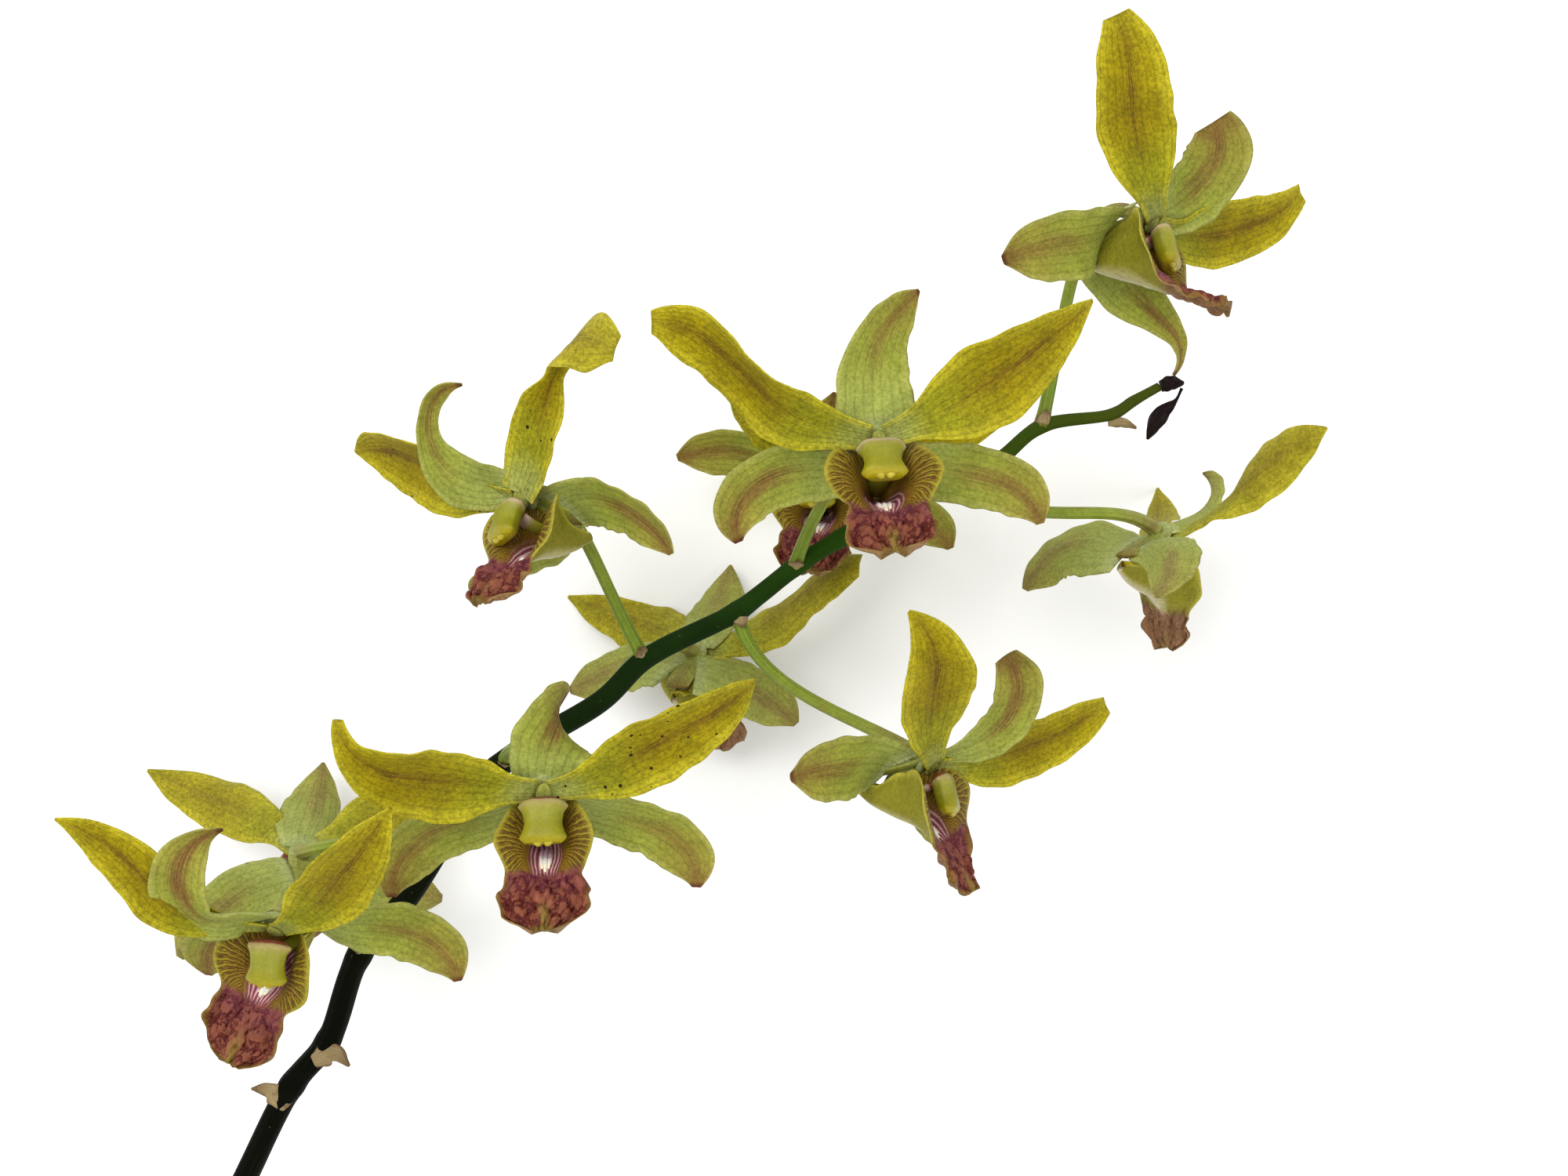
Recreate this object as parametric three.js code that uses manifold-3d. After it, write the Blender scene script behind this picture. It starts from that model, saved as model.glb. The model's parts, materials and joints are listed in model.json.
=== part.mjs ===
// A cut spray of a dendrobium orchid, laid on its side on a flat surface: one stem, ten blooms on
// pedicels, the papery bracts at its nodes and the withered buds at its tip.
// Millimetres. +X runs right along the surface, +Y towards the tip of the spray, +Z up.
import * as THREE from "three";
import { mergeVertices } from "three/addons/utils/BufferGeometryUtils.js";
import Module from "manifold-3d";

const wasm = await Module();
wasm.setup();

const radians = THREE.MathUtils.degToRad;
const lerp = THREE.MathUtils.lerp;
const vector = (list) => new THREE.Vector3(...list);

// Driving dimensions
const CENTRE = [-21.7, -39.1]; // middle of the spray's box on the surface, which becomes the origin
const GAP = 0.45; // clearance cut between neighbouring pieces, at their corners
const BLADE = 0.7; // thickness of sepals and petals
const LIP = 0.8; // thickness of the lip

// Stem centreline from the cut end to the tip, with its radius at the same places
const STEM = [
  [-139.5, -177, 2.2], [-123, -147, 15], [-106.8, -116.7, 27], [-96, -97, 33.5], [-88.2, -87.6, 36.5],
  [-80.6, -69.7, 43], [-71, -58.4, 46], [-54, -34, 48], [-33.8, -20.8, 48], [-26, -13.3, 48],
  [-8.8, -4.4, 48], [-4.5, -1.2, 48], [2.8, 4.5, 48], [11, 9.5, 47.5], [25, 16.8, 47],
  [39.4, 23.4, 46.5], [48.4, 30.4, 45.5], [62.2, 32.9, 44.5], [66, 35.3, 44], [71, 38.1, 43.5],
];
const STEM_RADIUS = [2.6, 2.5, 2.4, 2.35, 2.3, 2.25, 2.2, 2.1, 1.9, 1.7, 1.5, 1.3, 0.85];

const COLOURS = {
  stem: 0x2c3b16,
  pedicel: 0x7b8a2c,
  sepal: 0xa9b05c,
  petal: 0xb3a528,
  lip: 0x8a5a46,
  column: 0xb5b03c,
  bract: 0x9a8455,
  bud: 0x2a1a16,
};

// Half width along a blade as a share of its widest, from root to tip
const PETAL_WIDTH = [0.3, 0.46, 0.8, 0.98, 1.0, 0.86, 0.56, 0.05];
const DORSAL_WIDTH = [0.62, 0.86, 0.98, 1.0, 0.94, 0.78, 0.5, 0.05];
const LATERAL_WIDTH = [0.98, 0.98, 0.97, 0.97, 0.95, 0.86, 0.66, 0.12];

// How each kind of blade usually grows. round is its bearing round the face in degrees above
// level, open its slope out of the face, roll its turn about its own midrib, each from root to tip.
const DORSAL = {
  long: 28, wide: 12.6, rows: 5, width: DORSAL_WIDTH, root: [0, 1.2, -0.2],
  round: [90, 90, 85], open: [12, 8, -15], roll: 0, cup: 0.25, wave: 0.3,
};
const PETAL = {
  long: 40, wide: 13, rows: 6, width: PETAL_WIDTH, root: [1.2, 0.8, 1.5],
  round: [35, 35, 38], open: [8, 5, -15], roll: [0, 8, 15], cup: 0.25, wave: 0.5,
};
const LATERAL = {
  long: 27, wide: 11.8, rows: 5, width: LATERAL_WIDTH, root: [2.2, -4.8, -4.2],
  round: [-12, -25, -65], open: [2, 0, -8], roll: [35, 12, 0], cup: 0.22, wave: 0.3,
};

// The lip's axis in its bloom's y-z plane from the chin to its tip, its half widths, how far in
// degrees it folds up on each side and how much of that fold each place across it takes
const CHIN = [-12, -7.6];
const LIP_AXIS = [CHIN, [-12.2, -3.4], [-11.6, 1], [-10.6, 5.5], [-10.8, 10], [-12.2, 14.3], [-15, 18.6]];
const LIP_HALF = [2.0, 4, 7.5, 11.5, 13.5, 12, 7, 7.3, 7.2, 4.5];
const LIP_FOLD = [80, 85, 90, 90, 85, 55, 25, 8, -8, -15];
const LIP_UPRIGHT = [0.1, 0.4, 0.95, 1, 1, 0.95, 0.8];
const LIP_FLARE = [0.1, 0.4, 0.9, 0.95, 0.7, 0.4, 0.2];
const LIP_SPREAD = [0, 0, 0, 0.1, 0.6, 1, 1, 1, 1, 1]; // from upright to flared

// Each bloom: its hub, the way its face looks, the way its top points, where its pedicel leaves the
// stem, and what its own blades do that differs. A left blade is the mirror image of a right one.
const BLOOMS = [
  {
    name: "upper_middle", hub: [15.6, 24.6, 85],
    faces: [0.07, -0.22, 0.97], top: [-0.05, 0.97, 0.22],
    node: 11.9, leaves: [3, 11, 11], arrives: 12,
    dorsal: {
      round: [97, 90, 68, 46, 35], open: [10, -10, -25, -30], roll: [0, 5, 15, 20], long: 27.5, wide: 13.6,
      width: [0.85, 1.0, 0.95, 0.86, 0.76, 0.62, 0.42, 0.05],
    },
    right: {
      round: [19, 28, 34, 34], open: [12, 5, -5, -35], roll: [0, 0, 15, 30], long: 42, wide: 15,
      width: [0.28, 0.42, 0.82, 1.0, 0.95, 0.74, 0.42, 0.05],
    },
    left: {
      round: [12, 22, 47, 42, 4], open: [5, 0, 0, -10], roll: [0, 20, 50, 40, 10], long: 42, wide: 13.5,
      width: [0.3, 0.5, 0.8, 1.0, 1.0, 0.92, 0.76, 0.3],
    },
    lowRight: { round: [-10, -10, -26, -78], open: [5, 5, 0, -5], long: 30 },
    lowLeft: { round: [-5, -3, -42, -110], open: [0, -5, -10, -10], long: 30 },
  },
  {
    name: "lower_middle", hub: [-39.9, -33.4, 85], faces: [0.07, -0.44, 0.9], top: [0, 0.9, 0.44],
    node: 7.1, leaves: [3, 6, 14], arrives: 12,
    lipHalf: [2, 4, 7.3, 10.5, 11.5, 10, 6.5, 7.3, 7.2, 4.5],
    dorsal: {
      round: [86, 70, 30, -20], open: [8, -24, -80, -100], long: 16.8, wide: 14,
      width: [0.62, 0.82, 0.94, 1.0, 1.0, 1.0, 0.95, 0.5],
    },
    right: { round: [17, 30, 26, 15], open: [20, 0, -10, -60], long: 41, wide: 13.8 },
    left: {
      round: [18, 19, 28, 92], open: [20, 15, 8, -10], long: 38, wide: 15.5,
      width: [0.3, 0.46, 0.82, 1.0, 0.98, 0.76, 0.34, 0.12],
    },
    lowRight: { round: [-25, -15, -42, -95], open: [10, 5, 5, 10], long: 31, wide: 12.8 },
    lowLeft: { round: [-25, -8, -38, -88], open: [15, 5, 10, 10], long: 32, wide: 12.6 },
  },
  {
    name: "upper_left", hub: [-45.9, 16, 65], faces: [-0.63, -0.39, 0.67], top: [-0.53, 0.85, 0.03],
    node: 9.0, leaves: [-7, 12, 6], arrives: 10, twist: -18,
    lip: [CHIN, [-12.2, -3.4], [-11.6, 1], [-10.4, 5.5], [-10.2, 10.2], [-10.8, 15], [-12.2, 19.6]],
    dorsal: {
      root: [0, 2.7, 0.1], round: [150, 118, 81, 39, -40], open: [46, 32, 3, -20, -36],
      roll: [0, 10, 50, 66, 20],
      long: 33, wide: 11, width: [0.5, 0.85, 1.0, 0.72, 0.44, 0.36, 0.34, 0.05],
    },
    right: {
      round: [38, 34, 14, -58], open: [-15, -10, -5, 0], roll: [0, 0, 10, 60, 130, 170], long: 42,
      wide: 11, width: [0.7, 0.95, 1.0, 0.8, 0.36, 0.75, 1.0, 0.45],
    },
    left: { round: [36, 48, 42, 15], open: [17, 8, 0, 0], wide: 15, cup: 0.4 },
    lowRight: { round: [0, -30, -65, -95], open: [0, -5, -10, -5] },
    lowLeft: { round: [-25, -10, 5, -40], open: [-20, 5, 20, 10], roll: [35, 60, 60], long: 30 },
  },
  {
    name: "lower_left", hub: [-87.1, -57.7, 75], faces: [-0.2, -0.72, 0.66], top: [-0.15, 0.68, 0.72],
    node: 5.1, leaves: [-3, 5, 8], arrives: 8, sway: -14, twist: -12,
    lip: [CHIN, [-12.2, -3.4], [-11.6, 1], [-10.6, 5.5], [-10.8, 10], [-12.6, 14.8], [-15.8, 19.8]],
    dorsal: { round: [100, 150, 105, 60, -20], open: [35, 30, -15, -40, -30], long: 34.5, wide: 11.5 },
    right: { round: [35, 45, 50, 45], open: [5, -5, -15, -35] },
    left: {
      round: [36, 50, 52, 40, 22], open: [20, 19, -17, -13, 0], roll: [0, -20, -45, -45, -30],
      long: 41, wide: 9.6,
    },
    lowRight: { round: [-20, -15, -35, -80], open: [0, -15, 5, 35], roll: [30, -15, -40, -30], long: 31 },
    lowLeft: { round: [-10, -20, -50, -85], open: [10, 10, 10, 5] },
  },
  {
    name: "back_left", hub: [-94.4, -51.9, 32], faces: [-0.3, -0.2, -0.93], top: [-0.08, 0.97, -0.18],
    node: 6.4, leaves: [-11, 3, -3], arrives: 10,
    dorsal: { round: [104, 114, 108, 100], open: [50, 55, 45, 15] },
    right: { round: [55, 35, 30, 30], open: [35, 40, 30, 0], wide: 11.5 },
    left: { round: [15, 25, 25, 20], open: [20, 20, 10, -10] },
    lowRight: { round: [0, -25, -45, -55], open: [-20, -20, -15, -10] },
    lowLeft: { round: [20, -15, -25, -10], open: [20, 20, 10, -5] },
  },
  {
    name: "back_middle", hub: [-17.8, -13.1, 24], faces: [0.3, -0.3, -0.9], top: [0.1, 0.95, -0.28],
    node: 8.3, leaves: [2, 8, -8], arrives: 9,
    dorsal: { round: [85, 88, 88, 92], open: [35, 45, 35, 10] },
    right: { round: [38, 26, 18, 15], open: [40, 30, 0, -25], roll: [0, 20, 25] },
    left: {
      round: [20, 34, 42, 10], open: [20, 8, -8, -10], roll: [15, 30, 36, 26], long: 37, wide: 14,
      width: [0.3, 0.46, 0.8, 0.98, 1.0, 0.95, 0.82, 0.45],
    },
    lowRight: { round: [30, 0, -20, -30], open: [15, 20, 10, -10] },
    lowLeft: { round: [-5, -10, -25, -45], open: [30, 52, 50, 10], long: 25 },
  },
  {
    name: "back_upper", hub: [7.8, 23.7, 26], faces: [-0.2, -0.35, 0.91], top: [-0.05, 0.93, 0.35],
    node: 13.8, leaves: [0, 2, -16], arrives: 12,
    dorsal: { round: [75, 70, 70, 75], open: [45, 50, 45, 15] },
    right: { round: [34, 24, 12, 5], open: [25, 20, 5, -15] },
    left: { round: [55, 78, 75, 60], open: [40, 50, 50, 40] },
    lowRight: {},
    lowLeft: { round: [30, 25, 5, -15], open: [-5, 5, 10, 10], long: 30 },
  },
  {
    name: "top", hub: [64.9, 65.7, 62], faces: [0.7, -0.57, 0.43], top: [0.62, 0.78, 0.02],
    node: 16.0, leaves: [4.8, 21, 2], arrives: 15, twist: 15,
    lipHalf: [2, 4, 7.5, 11.5, 14.5, 14.5, 9.5, 7, 6.6, 4],
    lip: [CHIN, [-12.4, -3.2], [-11.6, 1.5], [-10.2, 6.5], [-8.8, 12], [-7, 17.5], [-5, 22.5]],
    dorsal: {
      round: [40, 60, 100, 135], open: [10, 0, -5, -60], roll: [0, -40, -55, -50], long: 26.5,
      width: [0.5, 0.7, 0.88, 1.0, 1.0, 1.0, 0.95, 0.6],
    },
    right: {
      round: [10, 40, 55, 75], open: [10, 15, 15, -5], roll: [0, -20, -25],
      width: [0.3, 0.46, 0.8, 0.98, 1.0, 0.88, 0.66, 0.35],
    },
    left: {
      round: [22, 32, 50, 46], open: [-10, -32, -30, -50], roll: [10, 35, 40, 50], long: 37, wide: 14,
      width: [0.3, 0.46, 0.8, 0.98, 1.0, 0.92, 0.76, 0.35],
    },
    lowRight: {
      root: [2.2, -7, -6], round: [-35, -11, -10, -80], open: [35, 55, 55, 0], long: 31,
      width: [0.98, 0.98, 0.95, 0.85, 0.6, 0.4, 0.3, 0.1],
    },
    lowLeft: { round: [-38, -42, -58, -75], open: [40, -5, -30, -25], roll: [20, -20, -40], wide: 13.5 },
  },
  {
    name: "right", hub: [72.3, 10.2, 38.8], faces: [0.66, -0.48, -0.58], top: [0.35, 0.88, -0.3],
    node: 14.5, leaves: [15, -11, 1], arrives: 15, sway: 9, twist: 12,
    lipHalf: [2, 4, 7, 10, 11.5, 10, 6.5, 5, 5, 3],
    dorsal: { round: [102, 102, 78, 20], open: [52, 42, 10, 0], roll: [0, -35, -50], long: 25, wide: 9 },
    right: { round: [30, 40, 50, 60], open: [35, 40, 30, 10], wide: 9 },
    left: { round: [25, 31, 22, 8], open: [10, -15, -22, -20], roll: [10, 45, -5, -25, -25], wide: 11.5 },
    lowRight: { root: [2.2, -6, -4.6], round: [-2, 10, -36, -70], open: [0, 0, 5, 5], long: 28, wide: 15.5 },
    lowLeft: { round: [-14, -34, -60, -88], open: [-20, -25, -25, -25], wide: 11 },
  },
  {
    name: "lower_right", hub: [26.4, -32.3, 52], faces: [0.75, -0.59, 0.3], top: [0.62, 0.78, 0],
    node: 10.0, leaves: [3, -16, 1], arrives: 12, twist: 18,
    lipHalf: [2, 4, 7.5, 11, 14, 14.5, 9.5, 7, 6.4, 4],
    lip: [CHIN, [-12.2, -3.4], [-11.2, 1.4], [-9.8, 6.4], [-9.6, 11.4], [-11, 16.4], [-13.2, 21]],
    dorsal: {
      round: [80, 90, 115, 165], open: [45, 22, -15, -55], roll: [0, -40, -50, -40], long: 30,
      wide: 10, width: [0.5, 0.6, 0.8, 0.96, 1.0, 0.96, 0.85, 0.5],
    },
    right: {
      round: [28, 48, 63, 65], open: [30, 25, 20, 10], roll: [0, -30, -45],
      width: [0.3, 0.46, 0.8, 0.98, 1.0, 0.88, 0.66, 0.3],
    },
    left: { round: [20, 34, 34, 30], open: [-15, -12, -15, -80], roll: [10, 30, 40], wide: 14 },
    lowRight: { round: [-20, -15, -10, -20], open: [25, 30, 25, 0], roll: [0, -30, -30], wide: 10 },
    lowLeft: { round: [-5, -23, -33, -40], open: [-20, -15, -20, -20], roll: [20, -20, -40], wide: 13.5 },
  },
];

// The value at t, from 0 to 1, of a smooth curve through evenly spaced keys
function along(keys, t) {
  if (typeof keys === "number") return keys;
  const last = keys.length - 1;
  const at = Math.min(Math.floor(t * last), last - 1);
  const f = t * last - at;
  const b = keys[at];
  const c = keys[at + 1];
  const a = keys[at - 1] ?? 2 * b - c;
  const d = keys[at + 2] ?? 2 * c - b;
  return b + 0.5 * f * (c - a + f * (2 * a - 5 * b + 4 * c - d + f * (3 * (b - c) + d - a)));
}

// A closed body from a list of faces, each a polygon of points, as a manifold-3d solid
function solidOf(geometry) {
  for (const name of Object.keys(geometry.attributes)) {
    if (name !== "position") geometry.deleteAttribute(name);
  }
  const merged = mergeVertices(geometry, 1e-4);
  return new wasm.Manifold(new wasm.Mesh({
    numProp: 3,
    vertProperties: merged.attributes.position.array,
    triVerts: new Uint32Array(merged.index.array),
  }));
}

function geometryOf(solid) {
  const mesh = solid.getMesh();
  const geometry = new THREE.BufferGeometry();
  geometry.setAttribute("position", new THREE.BufferAttribute(mesh.vertProperties, 3));
  geometry.setIndex(new THREE.BufferAttribute(mesh.triVerts, 1));
  return geometry;
}

const unionOf = (solids) => solids.reduce((sum, next) => sum.add(next));

// The largest body of a solid, without the scraps that a cut can leave
function mainBody(solid) {
  return solid.decompose().sort((a, b) => b.volume() - a.volume())[0];
}

// A body wrapped round rings of points, closed by a fan at each end
function loft(rings) {
  const sides = rings[0].length;
  const points = rings.flat();
  const faces = [];
  for (let i = 0; i + 1 < rings.length; i++) {
    for (let j = 0; j < sides; j++) {
      const a = i * sides + j;
      const b = i * sides + (j + 1) % sides;
      faces.push(a, b, b + sides, a, b + sides, a + sides);
    }
  }
  const middle = (ring) => ring.reduce((s, p) => s.add(p), new THREE.Vector3()).divideScalar(sides);
  const start = points.push(middle(rings[0])) - 1;
  const end = points.push(middle(rings.at(-1))) - 1;
  const lastRing = (rings.length - 1) * sides;
  for (let j = 0; j < sides; j++) {
    const k = (j + 1) % sides;
    faces.push(start, k, j, end, lastRing + j, lastRing + k);
  }
  return solidOf(new THREE.BufferGeometry().setFromPoints(points).setIndex(faces));
}

// A round or oval tube along a curve. across and deep give its half sizes along its length.
function tube(curve, steps, sides, across, deep = across, first = new THREE.Vector3(0, 0, 1)) {
  const rings = [];
  let up = first.clone();
  for (let i = 0; i <= steps; i++) {
    const t = i / steps;
    const forward = curve.getTangentAt(t);
    up.addScaledVector(forward, -up.dot(forward)).normalize();
    const side = new THREE.Vector3().crossVectors(up, forward);
    const centre = curve.getPointAt(t);
    rings.push(Array.from({ length: sides }, (_, j) => {
      const angle = 2 * Math.PI * j / sides;
      return centre.clone()
        .addScaledVector(side, Math.cos(angle) * along(across, t))
        .addScaledVector(up, Math.sin(angle) * along(deep, t));
    }));
  }
  return loft(rings);
}

// A thin sheet of even thickness. point(t, s) and normal(t, s) give its middle surface, with t
// from root to tip and s from -1 to 1 across. Both faces are split into triangles alike. extra
// grows it on every side, for cutting a clearance round it.
function sheet(rows, columns, thickness, surface, extra = 0) {
  const width = columns + 1;
  const total = (rows + 1) * width;
  const middle = [];
  for (let i = 0; i <= rows; i++) {
    for (let j = 0; j <= columns; j++) middle.push(surface(i / rows, 2 * j / columns - 1));
  }
  const outwards = middle.map(({ point }, k) => {
    const [i, j] = [Math.floor(k / width), k % width];
    const outer = new THREE.Vector3();
    const away = (from) => outer.add(point.clone().sub(middle[from].point).setLength(extra));
    if (i === 0) away(k + width);
    if (i === rows) away(k - width);
    if (j === 0) away(k + 1);
    if (j === columns) away(k - 1);
    return outer;
  });
  const points = [];
  for (const face of [0.5, -0.5]) {
    middle.forEach(({ point, normal }, k) => {
      const offset = face * (thickness + 2 * extra);
      points.push(point.clone().add(outwards[k]).addScaledVector(normal, offset));
    });
  }
  const faces = [];
  const quad = (a, b, c, d) => faces.push(a, b, c, a, c, d);
  for (let i = 0; i < rows; i++) {
    for (let j = 0; j < columns; j++) {
      const a = i * width + j;
      faces.push(a, a + width, a + width + 1, a, a + width + 1, a + 1);
      faces.push(total + a, total + a + width + 1, total + a + width);
      faces.push(total + a, total + a + 1, total + a + width + 1);
    }
    const left = i * width;
    const right = left + columns;
    quad(left, total + left, total + left + width, left + width);
    quad(right + width, total + right + width, total + right, right);
  }
  const tip = rows * width;
  for (let j = 0; j < columns; j++) {
    quad(j + 1, total + j + 1, total + j, j);
    quad(tip + j, total + tip + j, total + tip + j + 1, tip + j + 1);
  }
  return solidOf(new THREE.BufferGeometry().setFromPoints(points).setIndex(faces));
}

// A sheet's normal from its own neighbouring points, turned to the side that lies along hint
function withNormals(place) {
  const STEP = 0.004;
  return (t, s) => {
    const before = place(Math.max(t - STEP, 0), s);
    const after = place(Math.min(t + STEP, 1), s);
    const left = place(t, Math.max(s - STEP, -1));
    const right = place(t, Math.min(s + STEP, 1));
    const normal = after.sub(before).cross(right.sub(left)).normalize();
    return { point: place(t, s), normal };
  };
}

// One sepal or petal in its bloom's frame: x to the right of the face, y to its top, z out of it
function blade(kind, own, side, extra = 0) {
  const b = { ...kind, ...own };
  const STEPS = 28;
  const midrib = [vector(b.root)];
  const forward = (t) => {
    const round = radians(along(b.round, t));
    const open = radians(along(b.open, t));
    return new THREE.Vector3(
      Math.cos(open) * Math.cos(round), Math.cos(open) * Math.sin(round), Math.sin(open),
    );
  };
  for (let i = 0; i < STEPS; i++) {
    const next = midrib[i].clone().addScaledVector(forward((i + 0.5) / STEPS), b.long / STEPS);
    midrib.push(next);
  }
  const line = new THREE.CatmullRomCurve3(midrib);
  const place = (t, s) => {
    const round = radians(along(b.round, t));
    const roll = radians(along(b.roll, t));
    const level = new THREE.Vector3(-Math.sin(round), Math.cos(round), 0);
    const face = forward(t).cross(level);
    const across = level.clone().multiplyScalar(Math.cos(roll)).addScaledVector(face, Math.sin(roll));
    const inward = face.multiplyScalar(Math.cos(roll)).addScaledVector(level, -Math.sin(roll));
    const half = along(b.width, t) * b.wide / 2;
    const edge = s * s;
    const ruffle = b.wave * edge * Math.sin(2 * Math.PI * (1.6 * t + 0.25 * s)) * Math.sin(Math.PI * t);
    const point = line.getPoint(t)
      .addScaledVector(across, s * half * (1 - 0.12 * b.cup * edge))
      .addScaledVector(inward, b.cup * half * (edge - 0.35) + ruffle);
    point.x *= side;
    return point;
  };
  const surface = withNormals(place);
  return sheet(b.rows, 4, BLADE, (t, s) => {
    const found = surface(t, s * side);
    return { point: found.point, normal: found.normal.multiplyScalar(side) };
  }, extra);
}

// The lip: a sheet folded up round its axis into two side lobes, then opened into a crinkled
// middle lobe. Its axis runs in the bloom's y-z plane, from the chin to the tip.
function lip(bloom) {
  const chin = new THREE.Vector3(0, ...CHIN);
  const turn = new THREE.Euler(0, radians(bloom.sway ?? 0), radians(bloom.twist ?? 0), "YXZ");
  const keys = bloom.lip ?? LIP_AXIS;
  const axis = new THREE.CatmullRomCurve3(keys.map(([y, z]) => new THREE.Vector3(0, y, z)));
  const place = (t, s) => {
    const forward = axis.getTangent(t);
    const up = new THREE.Vector3(0, forward.z, -forward.y);
    const half = along(bloom.lipHalf ?? LIP_HALF, t);
    const fold = radians(along(LIP_FOLD, t));
    const reach = Math.abs(s);
    let [out, rise] = [0, 0];
    for (let k = 0; k < 12; k++) {
      const at = reach * (k + 0.5) / 12;
      const bend = fold * lerp(along(LIP_UPRIGHT, at), along(LIP_FLARE, at), along(LIP_SPREAD, t));
      out += Math.cos(bend) * half * reach / 12;
      rise += Math.sin(bend) * half * reach / 12;
    }
    const crinkle = 2 * Math.max(0, t - 0.66) * reach * Math.sin(2 * Math.PI * (3.1 * t + 0.4 * s));
    return axis.getPoint(t)
      .addScaledVector(up, rise + crinkle)
      .add(new THREE.Vector3(Math.sign(s) * out, 0, 0))
      .sub(chin).applyEuler(turn).add(chin);
  };
  return (extra) => sheet(9, 6, LIP, withNormals(place), extra);
}

// The column with its foot, which runs back to the chin
function column(extra) {
  const across = new THREE.Vector3(0, 1, 0);
  const more = (list) => list.map((size) => size + extra);
  const body = tube(new THREE.CatmullRomCurve3([
    new THREE.Vector3(0, -0.6, 3.7 - extra), new THREE.Vector3(0, -2.4, 6.2),
    new THREE.Vector3(0, -4.6, 8.9 + extra),
  ]), 4, 8, more([3.5, 3.9, 3.7, 3.3]), more([2.0, 2.3, 2.2, 1.7]), across);
  const foot = tube(new THREE.CatmullRomCurve3([
    new THREE.Vector3(0, -1.6, 4), new THREE.Vector3(0, -5.4, 1.6),
    new THREE.Vector3(0, -8.4, -2.6), new THREE.Vector3(0, -10.2, -6.6 - extra),
  ]), 5, 6, more([2.2, 1.9, 1.7, 1.4]), 0.7 + extra, across);
  return body.add(foot);
}

// The strip that joins the two lower sepals along the back of the column's foot, down to the chin
function chinStrip() {
  return tube(new THREE.CatmullRomCurve3([
    new THREE.Vector3(0, 0.2, -0.5), new THREE.Vector3(0, -4.4, -3.8), new THREE.Vector3(0, -8.6, -7.4),
  ]), 2, 6, [2.6, 2.8, 2.4], 0.7, new THREE.Vector3(0, 1, 0));
}

// A round seat between ovary and blades
function seat(low, high, radius) {
  const profile = [
    [0, low], [radius * 0.9, low], [radius, (low + high) / 2], [radius * 0.9, high], [0, high],
  ];
  const turned = new THREE.LatheGeometry(profile.map(([r, z]) => new THREE.Vector2(r, z)), 10);
  return solidOf(turned.rotateX(Math.PI / 2));
}

const piece = (name, solid, colour) => {
  const material = new THREE.MeshStandardMaterial({ color: colour, roughness: 0.6, metalness: 0 });
  const mesh = new THREE.Mesh(geometryOf(mainBody(solid)), material);
  mesh.name = name;
  return mesh;
};

const stemCurve = new THREE.CatmullRomCurve3(STEM.map(vector));
const stemPoint = (knot) => stemCurve.getPoint(knot / (STEM.length - 1));
const stemTube = (extra) => tube(stemCurve, 44, 8, STEM_RADIUS.map((r) => r + extra));

// The surface the spray lies on, which presses what touches it flat
const surface = solidOf(new THREE.BoxGeometry(400, 400, 20).translate(0, 0, -10));

// A pedicel's curve from the stem to the back of its bloom
function pedicelCurve(b, facing, extra) {
  const from = stemPoint(b.node);
  const to = vector(b.hub).addScaledVector(facing, extra - 1.6);
  const leaves = from.clone().add(vector(b.leaves));
  return new THREE.CubicBezierCurve3(from, leaves, to.clone().addScaledVector(facing, -b.arrives), to);
}

const spray = new THREE.Group();
spray.name = "dendrobium_spray";
spray.position.set(-CENTRE[0], -CENTRE[1], 0);
spray.add(piece("stem", stemTube(0).subtract(surface), COLOURS.stem));

for (const b of BLOOMS) {
  const facing = vector(b.faces).normalize();
  const right = vector(b.top).cross(facing).normalize();
  const top = facing.clone().cross(right);
  const pose = new THREE.Matrix4().makeBasis(right, top, facing).setPosition(vector(b.hub));
  const bloom = new THREE.Group();
  bloom.applyMatrix4(pose);
  const toBloom = pose.clone().invert().elements;

  const stalk = (extra) => tube(
    pedicelCurve(b, facing, extra), 9, 6, [1.3, 1.15, 1.15, 1.2, 1.5].map((r) => r + extra),
  );
  const pedicel = stalk(0).subtract(stemTube(GAP)).subtract(surface);
  const keepOff = unionOf([stalk(GAP), stemTube(GAP), surface]).transform(toBloom);

  const petalPair = (extra) => [
    seat(0.9 - extra, 2.1 + extra, 2.2 + extra),
    blade(PETAL, b.right, 1, extra), blade(PETAL, b.left, -1, extra),
  ];
  const lipSheet = lip(b);
  const petals = unionOf(petalPair(0)).subtract(unionOf([lipSheet(GAP), column(GAP), keepOff]));
  const front = lipSheet(0).subtract(column(GAP)).subtract(keepOff);
  const sepals = unionOf([
    seat(-1.2, 0.5, 3.0), chinStrip(), blade(DORSAL, b.dorsal, 1),
    blade(LATERAL, b.lowRight, 1), blade(LATERAL, b.lowLeft, -1),
  ]).subtract(unionOf([...petalPair(GAP), lipSheet(GAP), column(GAP), keepOff]));

  bloom.add(
    piece("sepals_" + b.name, sepals, COLOURS.sepal),
    piece("petals_" + b.name, petals, COLOURS.petal),
    piece("lip_" + b.name, front, COLOURS.lip),
    piece("column_" + b.name, column(0), COLOURS.column),
  );
  spray.add(bloom, piece("pedicel_" + b.name, pedicel, COLOURS.pedicel));
}

// A pointed scale, bud or thread along points of the spray, with its half width and half depth
function scale(name, colour, points, across, deep) {
  const curve = new THREE.CatmullRomCurve3(points.map(vector));
  const body = tube(curve, 6, 6, across, deep).subtract(stemTube(GAP));
  spray.add(piece(name, body, colour));
}

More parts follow.
